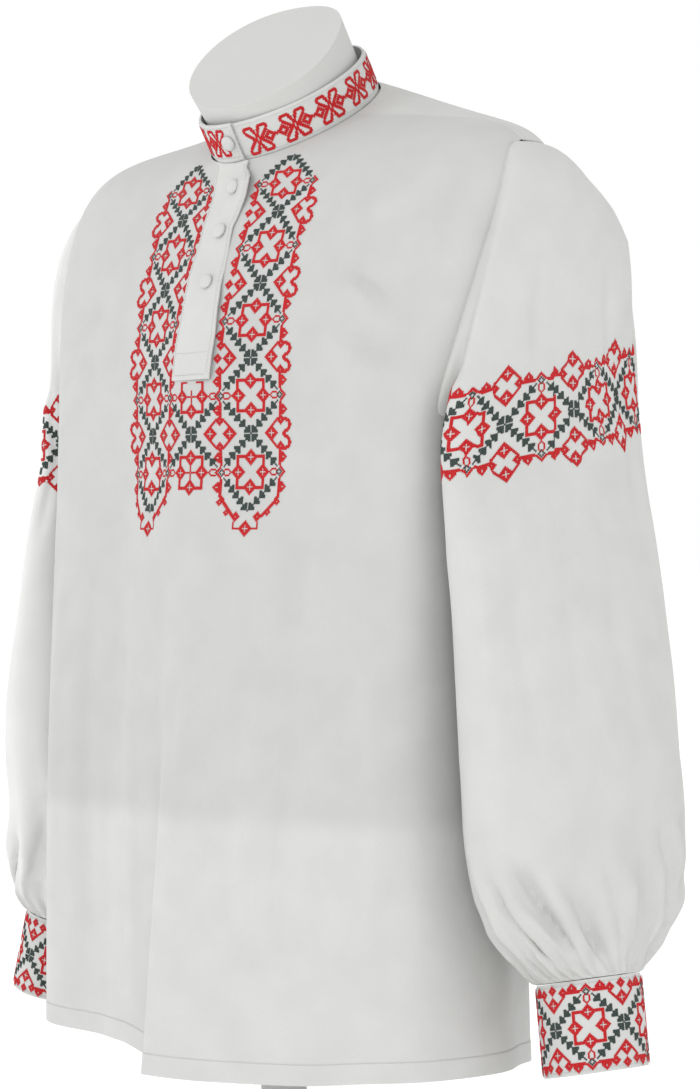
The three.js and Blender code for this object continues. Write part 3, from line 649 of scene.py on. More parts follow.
def loft(name, rings, material):
    """A closed body from rings of points, with a flat fan at each end."""
    rows, cols = rings.shape[:2]
    r, c = [g.ravel() for g in np.meshgrid(np.arange(rows - 1), np.arange(cols), indexing="ij")]
    d = (c + 1) % cols
    faces = np.stack([r * cols + c, r * cols + d, (r + 1) * cols + d, (r + 1) * cols + c], 1).tolist()
    faces.append(list(range(cols))[::-1])
    faces.append([(rows - 1) * cols + k for k in range(cols)])
    return make_object(name, rings.reshape(-1, 3), faces, material)


def bars(start, end, normal, half_width, height, lift):
    """Ridged threads from start to end: six points and two sloping sides each."""
    along = end - start
    side = np.cross(normal, along)
    side *= half_width / np.maximum(np.linalg.norm(side, axis=-1, keepdims=True), 1e-9)
    base = normal * lift
    ridge = normal * (lift + height)
    points = np.stack([
        start - side + base, end - side + base, end + side + base, start + side + base,
        start + along * 0.12 + ridge, end - along * 0.12 + ridge,
    ], 1)
    first = (np.arange(len(start)) * 6)[:, None]
    faces = np.concatenate([first + [0, 1, 5, 4], first + [2, 3, 4, 5]])
    return points.reshape(-1, 3), faces


def thread_object(name, batches, material):
    points, faces, offset = [], [], 0
    for batch_points, batch_faces in batches:
        points.append(batch_points)
        faces.append(batch_faces + offset)
        offset += len(batch_points)
    return make_object(name, np.concatenate(points), np.concatenate(faces).tolist(), material, False)


# ---- materials ----
def new_material(name, colour, roughness, sheen=0.0):
    material = bpy.data.materials.new(name)
    material.use_nodes = True
    shader = material.node_tree.nodes["Principled BSDF"]
    shader.inputs["Base Color"].default_value = (*colour, 1)
    shader.inputs["Roughness"].default_value = roughness
    shader.inputs["Specular IOR Level"].default_value = 0.25
    shader.inputs["Sheen Weight"].default_value = sheen
    shader.inputs["Sheen Roughness"].default_value = 0.5
    return material, material.node_tree, shader


def add_node(tree, kind, **settings):
    node = tree.nodes.new(kind)
    for key, value in settings.items():
        if key in node.inputs:
            node.inputs[key].default_value = value
        else:
            setattr(node, key, value)
    return node


def mix_colours(tree, shader, factor, low, high):
    ramp = add_node(tree, "ShaderNodeValToRGB")
    ramp.color_ramp.elements[0].color = (*low, 1)
    ramp.color_ramp.elements[1].color = (*high, 1)
    tree.links.new(factor, ramp.inputs["Fac"])
    tree.links.new(ramp.outputs["Color"], shader.inputs["Base Color"])
    return ramp


def add_bumps(tree, shader, heights):
    """heights: (socket, strength, distance in metres) from coarse to fine."""
    normal = None
    for socket, strength, distance in heights:
        bump = add_node(tree, "ShaderNodeBump", Strength=strength, Distance=distance)
        tree.links.new(socket, bump.inputs["Height"])
        if normal:
            tree.links.new(normal, bump.inputs["Normal"])
        normal = bump.outputs["Normal"]
    tree.links.new(normal, shader.inputs["Normal"])


def noise(tree, vector, scale, detail=2.0):
    node = add_node(tree, "ShaderNodeTexNoise", Scale=scale, Detail=detail)
    tree.links.new(vector, node.inputs["Vector"])
    return node.outputs["Fac"]


def object_place(tree):
    return add_node(tree, "ShaderNodeTexCoord").outputs["Object"]


THREAD_PITCH = 0.52        # millimetres between two threads of the weave
WAVE_PERIOD = 0.3142       # period of Blender's band wave at scale 1
FORM_EDGE = (0.272, 0.292)  # heights in metres between which the form behind the front ends, and the painted shade over it fades out
TONE_RANGE = (0.1, 0.42)   # the noise that gives the cloth's darkest and palest tone


def cloth_material(name, low, high, painted_shade_over_form=None):
    material, tree, shader = new_material(name, high, roughness=0.93, sheen=0.12)
    place = object_place(tree)
    flat = add_node(tree, "ShaderNodeAttribute", attribute_name="weave").outputs["Vector"]
    threads = []
    for direction in ("X", "Y"):
        wave = add_node(
            tree, "ShaderNodeTexWave", Scale=WAVE_PERIOD / THREAD_PITCH, Distortion=1.2,
            bands_direction=direction,
        )
        tree.links.new(flat, wave.inputs["Vector"])
        threads.append(wave.outputs["Fac"])
    woven = add_node(tree, "ShaderNodeMath", operation="MAXIMUM")
    tree.links.new(threads[0], woven.inputs[0])
    tree.links.new(threads[1], woven.inputs[1])
    slubs = noise(tree, flat, scale=0.9, detail=4)
    soft = noise(tree, place, scale=30)
    crumple = noise(tree, place, scale=120, detail=3)
    tone = add_node(tree, "ShaderNodeMath", operation="MULTIPLY")
    tree.links.new(slubs, tone.inputs[0])
    tree.links.new(soft, tone.inputs[1])
    ramp = mix_colours(tree, shader, tone.outputs[0], low, high)
    for element, position in zip(ramp.color_ramp.elements, TONE_RANGE):
        element.position = position
    # Painted shade: above the form's lower edge the colour is made darker. This stands in for the light
    # that the form behind keeps from coming through the thin cloth.
    if painted_shade_over_form:
        height = add_node(tree, "ShaderNodeSeparateXYZ")
        tree.links.new(place, height.inputs[0])
        fade = add_node(tree, "ShaderNodeMapRange", interpolation_type="SMOOTHSTEP")
        limits = (*FORM_EDGE, 1, painted_shade_over_form)
        for key, value in zip(("From Min", "From Max", "To Min", "To Max"), limits):
            fade.inputs[key].default_value = value
        tree.links.new(height.outputs["Z"], fade.inputs["Value"])
        painted_shade_colour = add_node(tree, "ShaderNodeVectorMath", operation="SCALE")
        tree.links.new(ramp.outputs["Color"], painted_shade_colour.inputs[0])
        tree.links.new(fade.outputs["Result"], painted_shade_colour.inputs["Scale"])
        tree.links.new(painted_shade_colour.outputs["Vector"], shader.inputs["Base Color"])
    add_bumps(tree, shader, [
        (soft, 0.16, 0.003), (crumple, 0.22, 0.0008), (woven.outputs[0], 0.35, 0.00012),
    ])
    return material


def thread_material(name, low, high):
    material, tree, shader = new_material(name, high, roughness=0.7, sheen=0.1)
    place = object_place(tree)
    mix_colours(tree, shader, noise(tree, place, scale=700), low, high)
    add_bumps(tree, shader, [(noise(tree, place, scale=3200, detail=1), 0.4, 0.0001)])
    return material


def skin_material(name, low, high, grain, roughness):
    material, tree, shader = new_material(name, high, roughness)
    place = object_place(tree)
    mix_colours(tree, shader, noise(tree, place, scale=18, detail=3), low, high)
    add_bumps(tree, shader, [
        (noise(tree, place, scale=30), 0.06, 0.002), (noise(tree, place, scale=grain), 0.12, 0.0003),
    ])
    return material


LINEN = cloth_material("linen", (0.465, 0.47, 0.457), (0.51, 0.515, 0.50))
# The front's cloth has painted shade: it is made 10 % darker above the form's lower edge, where the form
# behind keeps light from coming through.
FRONT_LINEN_PAINTED_SHADE = cloth_material(
    "front_linen_painted_shade", (0.472, 0.476, 0.466), (0.517, 0.521, 0.511), painted_shade_over_form=0.9,
)
# Light comes through the sleeve on the wearer's right, so its cloth is made paler.
BACKLIT_LINEN = cloth_material("backlit_linen", (0.57, 0.575, 0.565), (0.62, 0.625, 0.615))
BUTTON_CLOTH = cloth_material("button_cloth", (0.455, 0.46, 0.455), (0.51, 0.515, 0.505))
WHITE_THREAD = thread_material("white_thread", (0.40, 0.405, 0.40), (0.48, 0.485, 0.48))
RED_THREAD = thread_material("red_thread", (0.36, 0.003, 0.006), (0.52, 0.006, 0.010))
BLACK_THREAD = thread_material("black_thread", (0.018, 0.03, 0.027), (0.04, 0.058, 0.052))
FORM_SKIN = skin_material("form_skin", (0.47, 0.475, 0.46), (0.50, 0.505, 0.49), 1500, 0.75)
STAND_PAINT = skin_material("stand_paint", (0.56, 0.56, 0.56), (0.62, 0.62, 0.62), 900, 0.45)


def finish_piece(obj, slot, *nodes):
    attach(obj, "root")
    if nodes:
        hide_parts(*nodes)
    return obj


# ---- camera ----
VIEW_AZIMUTH = math.radians(48)
VIEW_DISTANCE = 2.7
VIEW_HEIGHT = 0.492
camera_data = bpy.data.cameras.new("camera")
camera_data.lens = 116.9
camera_data.sensor_width = 36
camera_data.shift_x = 0.0606
camera_data.shift_y = -0.0115
camera = bpy.data.objects.new("camera", camera_data)
camera.location = (
    VIEW_DISTANCE * math.sin(VIEW_AZIMUTH), -VIEW_DISTANCE * math.cos(VIEW_AZIMUTH), VIEW_HEIGHT,
)
camera.rotation_euler = (math.pi / 2, 0, VIEW_AZIMUTH)
bpy.context.scene.collection.objects.link(camera)
bpy.context.scene.camera = camera


# ---- front and back ----
FRONT_GRID = (190, 200)
BACK_GRID = (120, 130)
BELOW_SHARE = 0.62         # share of a panel's rows that lie below the underarm
HEM_V = HEM_DEPTH / LOWER_LENGTH
HEM_FOOT_V = [0.005, 0.006, 0.008, *np.linspace(0.012, 0.03, 4)]
HEM_LINE = np.array([-1.6, -0.8, -0.35, 0, 0.35, 0.8, 1.6])  # rows round the stitch line, in millimetres
ABOVE_HEM_V = 0.045
PANEL_TOP_V = 1.999
HEM_STEP = dict(out=0.35, length=0.8)
HEM_GROOVE = dict(depth=0.2, width=0.7)


def panel(point, grid, is_front):
    """Points and normals of a whole panel, and the v of its rows."""
    rows, cols = grid
    below = int(rows * BELOW_SHARE)
    v = np.concatenate([
        HEM_FOOT_V, HEM_V + HEM_LINE / LOWER_LENGTH,
        np.linspace(ABOVE_HEM_V, 1, below, endpoint=False), np.linspace(1, PANEL_TOP_V, rows - below),
    ])
    share = np.linspace(-1, 1, cols)
    facing = 0 if is_front else math.pi
    angle = facing + panel_edge(v, is_front)[:, None] * share[None, :]
    points, normals = point(angle, np.repeat(v[:, None], cols, 1))
    above_line = (v - HEM_V) * LOWER_LENGTH
    hem = HEM_STEP["out"] * smooth(-above_line / HEM_STEP["length"])
    hem = hem - HEM_GROOVE["depth"] * bell(above_line, HEM_GROOVE["width"])
    return points + normals * hem[:, None, None], normals, v


front_points, front_normals, front_v = panel(front_cloth, FRONT_GRID, True)
cell_x = (front_points[:-1, :-1, 0] + front_points[1:, 1:, 0]) / 2
over_slit = (np.abs(cell_x) < SLIT_HALF) & (front_v[:-1, None] > PLACKET_BOTTOM_V)
front = shell("shirt_front", front_points, front_normals, SHIRT_CLOTH, FRONT_LINEN_PAINTED_SHADE, keep=~over_slit)
finish_piece(front, "linen", "front")
back_points, back_normals, _ = panel(back_cloth, BACK_GRID, False)
back = shell("shirt_back", back_points, back_normals, SHIRT_CLOTH, LINEN)
finish_piece(back, "linen", "back")

# ---- sleeves, cuffs and collar ----
SLEEVE_COLUMNS = 168
SLEEVE_S = np.concatenate([
    np.linspace(0, 1, 44, endpoint=False), np.linspace(1, 4, 46, endpoint=False), np.linspace(4, 9, 60),
])
CUFF_GRID = (22, 190)
COLLAR_GRID = (16, 240)
BAND_EDGE = 1.1            # radius of a band's turned edges
BAND_WALL = BAND_CLOTH - 0.8
PRESSED = dict(depth=0.35, inside=1, width=0.9)  # the dent just inside a row of topstitching
COLLAR_TUCK = 0.07         # share of its height that the collar's lower edge reaches down into the seam
SLEEVE_LINEN = dict(left=LINEN, right=BACKLIT_LINEN)


def soft_band(points, normals, length):
    """Rounds a band's long edges and presses its topstitching in."""
    h = np.linspace(0, 1, points.shape[0])
    from_edge = np.minimum(h, 1 - h) * length
    turn_in = rounded_edge(from_edge, BAND_EDGE) * 0.8
    pressed = PRESSED["depth"] * bell(from_edge - TOPSTITCH - PRESSED["inside"], PRESSED["width"])
    return points - normals * (turn_in + pressed)[:, None, None]


sleeves, cuffs = {}, {}
for side_row in SIDES:
    name, side, swing = side_row["name"], side_row["side"], side_row["swing"]
    turns = np.linspace(0, 2 * math.pi, SLEEVE_COLUMNS, endpoint=False)
    p, n = flip(*sleeve_cloth(turns[None, :], SLEEVE_S[:, None], side_row), side)
    sleeve = shell(
        f"shirt_sleeve_{name}", p, n, SHIRT_CLOTH, SLEEVE_LINEN[name], wrap=True, reverse=side < 0,
    )
    finish_piece(sleeve, "linen", f"sleeve_{name}")
    sleeves[name] = sleeve
    t = np.linspace(0, 1, CUFF_GRID[1])
    h = np.linspace(0, 1, CUFF_GRID[0])
    p, n = cuff_cloth(t[None, :], h[:, None], swing)
    p, n = flip(soft_band(p, n, CUFF_HEIGHT), n, side)
    cuff = shell(f"shirt_cuff_{name}", p, n, BAND_WALL, LINEN, reverse=side < 0)
    finish_piece(cuff, "linen", f"cuff_{name}")
    cuffs[name] = cuff

t = np.linspace(0, 1, COLLAR_GRID[1])
h = np.linspace(0, 1, COLLAR_GRID[0])
p, n = collar_cloth(t[None, :], (h - COLLAR_TUCK * (1 - h) ** 4)[:, None])
collar = shell("shirt_collar", soft_band(p, n, COLLAR_HEIGHT), n, BAND_WALL, LINEN)
finish_piece(collar, "linen", "collar")


# ---- placket ----
STRIP_CLOTH = 1.2
STRIP_GRID = (110, 36)
STRIP_LENGTH = 190
STRIP_TOP_V = 1.993
STRIP_EDGE = 0.9
STRIP_PRESSED = 0.3
UNDER_STRIP = dict(from_x=-18, to_x=20, columns=16)
# The top strip's free edge stands up in waves, and most of all below the collar.
EDGE_LIFT = dict(mean=1.4, wave=1.4, count=9, phase=0.6, top=2.6, top_at=0.86, top_width=0.09, start=0.35)
SWELL = dict(height=0.5, along=23, across=2)


def free_edge_lift(across, along):
    lift = EDGE_LIFT["mean"] + EDGE_LIFT["wave"] * np.sin(EDGE_LIFT["count"] * along + EDGE_LIFT["phase"])
    lift = lift + EDGE_LIFT["top"] * bell(along - EDGE_LIFT["top_at"], EDGE_LIFT["top_width"])
    return np.maximum(0, lift) * smooth((across - EDGE_LIFT["start"]) / (1 - EDGE_LIFT["start"]))


def on_front(x, z):
    """Point and normal of the front's cloth at an X and a Z."""
    return front_cloth(*find_on_front(x, z))


def on_front_at_v(x, v):
    """Point and normal of the front's cloth at an X and v."""
    x, v = np.broadcast_arrays(np.asarray(x, float), np.asarray(v, float))
    step = 1e-4
    angle = x / 200        # a first guess
    for _ in range(12):
        p = body_point(angle, v)
        slope = (body_point(angle + step, v)[..., 0] - p[..., 0]) / step
        angle = angle + (x - p[..., 0]) / slope
    return front_cloth(angle, v)


# The strip's free edge is not pressed straight: height in mm, and how far it lies out or in.
FREE_EDGE_Z, FREE_EDGE_IN = np.array([
    (603, 0), (618, 0.5), (638, 1), (665, -1.5), (678, -4), (699, -6), (720, -8.5), (734, -5), (744, -1.5),
    (752, 0), (758, -1), (766, -8), (775, -6), (783, -4),
]).T
FREE_EDGE_X = 16
FREE_EDGE_V = find_on_front(np.full_like(FREE_EDGE_Z, FREE_EDGE_X), FREE_EDGE_Z)[1]


def placket_place(across, v):
    """Point and normal of the top strip, across 0 to 1 and by v."""
    along = (v - PLACKET_BOTTOM_V) / (PLACKET_TOP_V - PLACKET_BOTTOM_V)
    wave = np.interp(v, FREE_EDGE_V, FREE_EDGE_IN) * smooth((across - 0.3) / 0.7)
    x = -PLACKET_HALF + (2 * PLACKET_HALF + wave) * across
    p, n = on_front_at_v(x, v)
    lift = SHIRT_CLOTH + TOUCH_GAP + STRIP_CLOTH * 0.7 + free_edge_lift(across, np.clip(along, 0, 1))
    swell = SWELL["height"] * np.sin(SWELL["along"] * along + SWELL["across"] * across) * smooth(along * 6)
    return p + n * (lift + swell)[..., None], n


strip_v = np.linspace(PLACKET_BOTTOM_V, STRIP_TOP_V, STRIP_GRID[0])
strip_across = np.linspace(0, 1, STRIP_GRID[1])
p, n = placket_place(*np.broadcast_arrays(strip_across[None, :], strip_v[:, None]))
edge_mm = np.minimum(strip_across, 1 - strip_across) * 2 * PLACKET_HALF
end_mm = (strip_v - PLACKET_BOTTOM_V) * STRIP_LENGTH
from_edge = np.minimum(edge_mm[None, :], end_mm[:, None])
turned = rounded_edge(from_edge, STRIP_EDGE) * 0.8
pressed = STRIP_PRESSED * bell(from_edge - TOPSTITCH - PRESSED["inside"], PRESSED["width"])
placket = shell("shirt_placket", p - n * (turned + pressed)[..., None], n, STRIP_CLOTH, LINEN)
finish_piece(placket, "linen", "placket")

under_across = np.linspace(UNDER_STRIP["from_x"], UNDER_STRIP["to_x"], UNDER_STRIP["columns"])
p, n = on_front_at_v(under_across[None, :], strip_v[::2, None])
p = p - n * (SHIRT_CLOTH + TOUCH_GAP)
placket_under = shell("shirt_placket_under", p, n, STRIP_CLOTH, LINEN)
finish_piece(placket_under, "linen", "placket_under")


# ---- buttons: covered with cloth that is gathered under the rim ----
BUTTON_RADIUS = 5.8
BUTTON_HEIGHT = 3.4
BUTTON_PLEATS = dict(count=14, depth=0.2, start=0.7, length=0.3)
# The dome's outline: shares of the radius and of the height.
BUTTON_PROFILE = [
    (0.6, 0), (0.8, 0.02), (0.97, 0.2), (1.0, 0.42), (0.96, 0.62), (0.87, 0.8), (0.72, 0.91),
    (0.5, 0.97), (0.25, 0.995), (0.04, 1.0),
]
BUTTON_COLUMNS = 56


def button_rings():
    pleats = BUTTON_PLEATS
    angles = np.linspace(0, 2 * math.pi, BUTTON_COLUMNS, endpoint=False)
    wave = pleats["depth"] * np.sin(pleats["count"] * angles)
    rings = []
    for radius, height in BUTTON_PROFILE:
        around = BUTTON_RADIUS * radius + wave * smooth((radius - pleats["start"]) / pleats["length"])
        z = np.full_like(angles, BUTTON_HEIGHT * height)
        rings.append(np.stack([around * np.cos(angles), around * np.sin(angles), z], -1))
    return np.array(rings)


def add_button(name, place, normal):
    """Sets a button on the cloth. place and normal are in millimetres."""
    normal = normal / np.linalg.norm(normal)
    across = np.cross([0, 0, 1], normal)
    across /= np.linalg.norm(across)
    frame_axes = np.stack([across, np.cross(normal, across), normal])
    rings = button_rings() @ frame_axes + place + normal * TOUCH_GAP
    finish_piece(loft(f"shirt_{name}", rings, BUTTON_CLOTH), "buttons", name)


BUTTONS_ALONG = [0.82, 0.55, 0.32]
BUTTONS_ACROSS = 0.62
p, n = collar_cloth(np.array([COLLAR_BUTTON_AT]), np.array([0.5]))
add_button("collar_button", p[0], n[0])
for k, along in enumerate(BUTTONS_ALONG):
    v = PLACKET_BOTTOM_V + along * (PLACKET_TOP_V - PLACKET_BOTTOM_V)
    p, n = placket_place(np.array([BUTTONS_ACROSS]), np.array([v]))
    add_button(f"placket_button_{k + 1}", p[0], n[0])
for side_row in SIDES:
    p, n = cuff_cloth(np.array([CUFF_BUTTON_AT]), np.array([0.5]), side_row["swing"])
    p, n = flip(p, n, side_row["side"])
    add_button(f"cuff_button_{side_row['name']}", p[0], n[0])


# ---- the dress form and its stand ----
NECK_TOP = dict(x=-2, mid=-21, half_x=66.5, half_y=45, z=852, slope=0.93, side_slope=-0.12)
NECK_CORNER = dict(angle=150, width=30, out=0.12)
NECK_INSET = 9.6
NECK_FOOT_RISE = 2
HORIZONTAL_BELOW_V = 1.2
BOTTOM_TAPER = (0.94, 0.93)
NECK_SHARES = (0, 0.2, 0.4, 0.6, 0.8, 0.93, 0.98, 1)
# How far the form lies inside the cloth: v, then millimetres at the front, the sides and the back.
FORM_INSET = [
    (0.36, 31, 58, 40), (0.41, 23, 49, 33), (0.5, 18, 43, 27), (0.66, 14, 40, 22), (0.86, 8, 36, 14),
    (1.1, 5, 24, 5), (1.25, 4.5, 14, 4), (1.4, 4, 7, 3.6), (1.5, 3.6, 5.8, 4.4), (1.6, 3.4, 2.2, 3),
    (1.72, 3.4, 0.7, 1.7), (1.84, 3.4, 0.9, 1.4), (1.955, 4, 4.6, 4.8),
]
VISIBLE_CLEARANCE = 1.6    # the visible form stays this much further inside the cloth
FORM_COLUMNS = 128
FORM_V = np.concatenate([np.linspace(0.36, 1.1, 26, endpoint=False), np.linspace(1.1, 1.955, 26)])


def form_rings():
    angles = np.linspace(0, 2 * math.pi, FORM_COLUMNS, endpoint=False)
    side = np.sin(angles) ** 2
    insets = np.array(FORM_INSET)
    rings = []
    for v in FORM_V:
        front_in, side_in, back_in = [np.interp(v, insets[:, 0], insets[:, k]) for k in (1, 2, 3)]
        end = np.where(np.cos(angles) > 0, front_in, back_in)
        inset = CLOTH + FORM_CLEARANCE + VISIBLE_CLEARANCE + end + (side_in - end) * side
        at_v = np.full_like(angles, v)
        n = body_normal(angles, at_v)
        if v < HORIZONTAL_BELOW_V:
            n[:, 2] = 0
            n /= np.linalg.norm(n, axis=1, keepdims=True)
        rings.append(body_point(angles, at_v) - n * inset[:, None])
    low = rings[0] * [*BOTTOM_TAPER, 0] + [0, 0, FORM_BOTTOM]
    x, y = section_point(NECK, angles)
    inset = 1 - NECK_INSET / NECK["front"]
    foot_y = NECK["mid"] + (y - NECK["mid"]) * inset
    foot_z = NECK["z_f"] + NECK_SLOPE * (y - (NECK["mid"] - NECK["front"])) + NECK_FOOT_RISE
    foot = np.stack([x * inset, foot_y, foot_z], -1)
    corner = 1 + NECK_CORNER["out"] * bell(np.degrees(angles) - NECK_CORNER["angle"], NECK_CORNER["width"])
    x = NECK_TOP["x"] + NECK_TOP["half_x"] * np.sin(angles) * corner
    y = NECK_TOP["mid"] - NECK_TOP["half_y"] * np.cos(angles) * corner
    z = NECK_TOP["z"] + NECK_TOP["slope"] * (y - NECK_TOP["mid"]) + NECK_TOP["side_slope"] * x
    top = np.stack([x, y, z], -1)
    neck = [foot + (top - foot) * share for share in NECK_SHARES]
    return np.array([low, *rings, *neck])


def solid_of_turning(name, profile, columns, material):
    angles = np.linspace(0, 2 * math.pi, columns, endpoint=False)
    rings = [np.stack([r * np.cos(angles), r * np.sin(angles), angles * 0 + z], -1) for r, z in profile]
    return loft(name, np.array(rings), material)


finish_piece(loft("dress_form", form_rings(), FORM_SKIN), "form_skin", "form_torso")

POLE_RADIUS = 17.5
POLE_EDGE = 0.8
POLE_COLUMNS = 64
pole_low, pole_high = BASE_HEIGHT + TOUCH_GAP, FORM_BOTTOM - TOUCH_GAP
pole = solid_of_turning("stand_pole", [
    (POLE_RADIUS - POLE_EDGE, pole_low), (POLE_RADIUS, pole_low + POLE_EDGE),
    (POLE_RADIUS, pole_high - POLE_EDGE), (POLE_RADIUS - POLE_EDGE, pole_high),
], POLE_COLUMNS, STAND_PAINT)
finish_piece(pole, "stand_metal", "form_pole")

BASE_RADIUS = 150
BASE_EDGE = 3              # radius of the base's rounded rim
BASE_ARC = 0.9             # how far the middle of that round lies inside the rim's corner
BASE_FLAT = 20             # radius of the flat fan at the middle
BASE_COLUMNS = 128
base = solid_of_turning("stand_base", [
    (BASE_FLAT, 0), (BASE_RADIUS - BASE_EDGE, 0), (BASE_RADIUS - BASE_ARC, BASE_ARC),
    (BASE_RADIUS, BASE_EDGE), (BASE_RADIUS, BASE_HEIGHT - BASE_EDGE),
    (BASE_RADIUS - BASE_ARC, BASE_HEIGHT - BASE_ARC), (BASE_RADIUS - BASE_EDGE, BASE_HEIGHT),
    (BASE_FLAT, BASE_HEIGHT),
], BASE_COLUMNS, STAND_PAINT)
finish_piece(base, "stand_metal", "form_base")


# ---- the cross-stitch chart: cells along (a) and across (b) a band ----
CELL = 1.09                # one stitch
REPEAT = 52                # cells to one repeat along a band
HALF_REPEAT = REPEAT // 2
HALF_BAND = 24             # cells from the middle to the border
RED, BLACK = "red", "black"
OPEN_PETAL = [(10, 2), (9, 6), (6, 8), (4, 7), (0, 2)]
LEAF = [(i, j) for i in range(5) for j in range(5) if i + j <= 5]
LEAF_STARTS = (1, 5, 9, 13, 17)
ARM_REACH = 22             # cells from a crossing to the end of its leafed line


class Chart(dict):
    """Cells of a counted pattern: (a, b) to a thread colour."""

    def put(self, cells, colour=RED):
        for cell in cells:
            self[cell] = colour

    def clear_out(self, cells):
        for cell in cells:
            self.pop(cell, None)

    def diamond(self, a, b, radius=5, hole=2):
        self.put(diamond_cells(a, b, radius))
        self.clear_out(plus_cells(a, b, hole))

    def line(self, points, thick=1):
        for (a0, b0), (a1, b1) in zip(points, points[1:]):
            steps = max(abs(a1 - a0), abs(b1 - b0), 1)
            for k in range(steps + 1):
                a = round(a0 + (a1 - a0) * k / steps)
                b = round(b0 + (b1 - b0) * k / steps)
                self.put([(a + i, b + j) for i in range(thick) for j in range(thick)])

    def rosette(self, a, b, skip=()):
        for da, db in ((10, 0), (-10, 0), (0, 10), (0, -10)):
            if (da, db) not in skip:
                self.diamond(a + da, b + db)
        for sa in (1, -1):
            for sb in (1, -1):
                self.put([(a + sa * k, b + sb * edge) for k in range(5, 12) for edge in (10, 11)])
                self.put([(a + sa * edge, b + sb * k) for k in range(5, 12) for edge in (10, 11)])

    def closed_petals(self, a, b):
        """Fine lines that close the rosette's middle, round one open cell."""
        self.put(plus_cells(a, b, 4))
        self.clear_out([(a, b)])

    def bud(self, a, b, da, db):
        """Stem and bud from a rosette towards a black diamond."""
        def at(along, across):
            return (a + da * along + db * across, b + db * along + da * across)
        self.put([at(15, 0), at(16, 0), at(17, 1), at(17, -1), at(22, 1), at(22, -1)])
        self.put([at(k, side) for k in range(18, 22) for side in (2, -2)])

    def black_diamond(self, a, b):
        self.clear_out(diamond_cells(a, b, 1))
        self.put([c for c in diamond_cells(a, b, 2) if abs(c[0] - a) + abs(c[1] - b) == 2], BLACK)

    def arms(self, a, b, sa):
        """Two leafed black lines that leave a crossing diagonally, forward or back along the band."""
        for sb in (1, -1):
            self.put([(a + sa * k, b + sb * k) for k in range(ARM_REACH + 1)], BLACK)
            for start in LEAF_STARTS:
                self.put([(a + sa * (start + i), b + sb * (start + j)) for i, j in LEAF], BLACK)

    def buds(self, a, borders=True):
        """What lies across the band on both sides of its rosette at a."""
        for out in (1, -1):
            self.bud(a, 0, 0, out)
            if borders:
                self.black_diamond(a, out * HALF_BAND)
                self.bracket(a, out * HALF_BAND, out)

    def bracket(self, a, b, out):
        """The border's arch over a black diamond."""
        for i in range(-5, 6):
            for j in range(1, 7):
                if 4 <= abs(i) + j <= 5:
                    self.put([(a + i, b + out * j)])

    def border(self, first, last, b, out, triangles=()):
        for a in range(first, last + 1):
            self.put([(a, b), (a, b + out)])
        for middle in triangles:
            for i in range(-3, 4):
                for j in range(0, 5):
                    if abs(i) + j <= 4:
                        self.put([(middle + i, b + out * (2 + j))])
            self.clear_out([(middle, b + out * 3), (middle, b + out * 4)])

    def border_rosette(self, a, b, out, kind):
        """Rosette that sits on the border. Its outer half is full, open or flat."""
        for da in (9, -9):
            self.diamond(a + da, b, 3, 0)
        self.diamond(a, b - out * 8)
        self.cut_corners(a, b, -out)
        if kind == "full":
            self.diamond(a, b + out * 8)
            self.cut_corners(a, b, out)
        elif kind == "flat":
            self.diamond(a, b + out * 2, 3, 0)
        elif kind == "open":
            for sign in (1, -1):
                self.line([(a + sign * i, b + out * j) for i, j in OPEN_PETAL], 2)

    def cut_corners(self, a, b, out):
        for i in range(4, 11):
            for total in (12, 13):
                if 2 <= total - i <= 9:
                    self.put([(a + i, b + out * (total - i)), (a - i, b + out * (total - i))])


def plus_cells(a, b, reach):
    return [cell for k in range(reach + 1) for cell in ((a + k, b), (a - k, b), (a, b + k), (a, b - k))]


def diamond_cells(a, b, radius):
    spread = range(-radius, radius + 1)
    return [(a + i, b + j) for i in spread for j in spread if abs(i) + abs(j) <= radius]


def band_chart(repeats, kind):
    """A plain band. Rosettes lie at every whole repeat, crossings halfway between."""
    chart = Chart()
    rosettes = [k * REPEAT for k in repeats]
    for a in rosettes:
        for way in (-1, 1):
            chart.arms(a + way * HALF_REPEAT, 0, -way)
        for out in (1, -1):
            b = out * HALF_BAND
            chart.border(a - 14, a - 5, b, out, [a - 10])
            chart.border(a + 5, a + 14, b, out, [a + 10])
            for way in (-1, 1):
                chart.border_rosette(a + way * HALF_REPEAT, b + out, out, kind)
    for a in rosettes:
        chart.rosette(a, 0)
        chart.buds(a)
    return chart


PANEL_ROSETTES = 5
PANEL_TIP = 278            # cells from the panel's top to its lower tip
FOOT_LINE = [(-10, 24), (-4, 19), (3, 12)]
FOOT_HOOK = [(8, 10), (12, 10), (12, 6)]
FOOT_RINGS = [(-6, 24), (1, 17)]


def panel_foot(chart, last):
    """The borders close in a point under the last rosette."""
    tip = last + HALF_REPEAT
    for out in (1, -1):
        chart.line([(tip + i, out * j) for i, j in FOOT_LINE], 2)
        chart.line([(tip + i, out * j) for i, j in FOOT_HOOK])
        chart.diamond(tip + 4, out * 9, 3, 0)
        for i, j in FOOT_RINGS:
            chart.put([cell for cell in diamond_cells(tip + i, out * j, 2) if cell != (tip + i, out * j)])
    chart.diamond(tip + 12, 0)
    chart.put([(tip, 0)], BLACK)


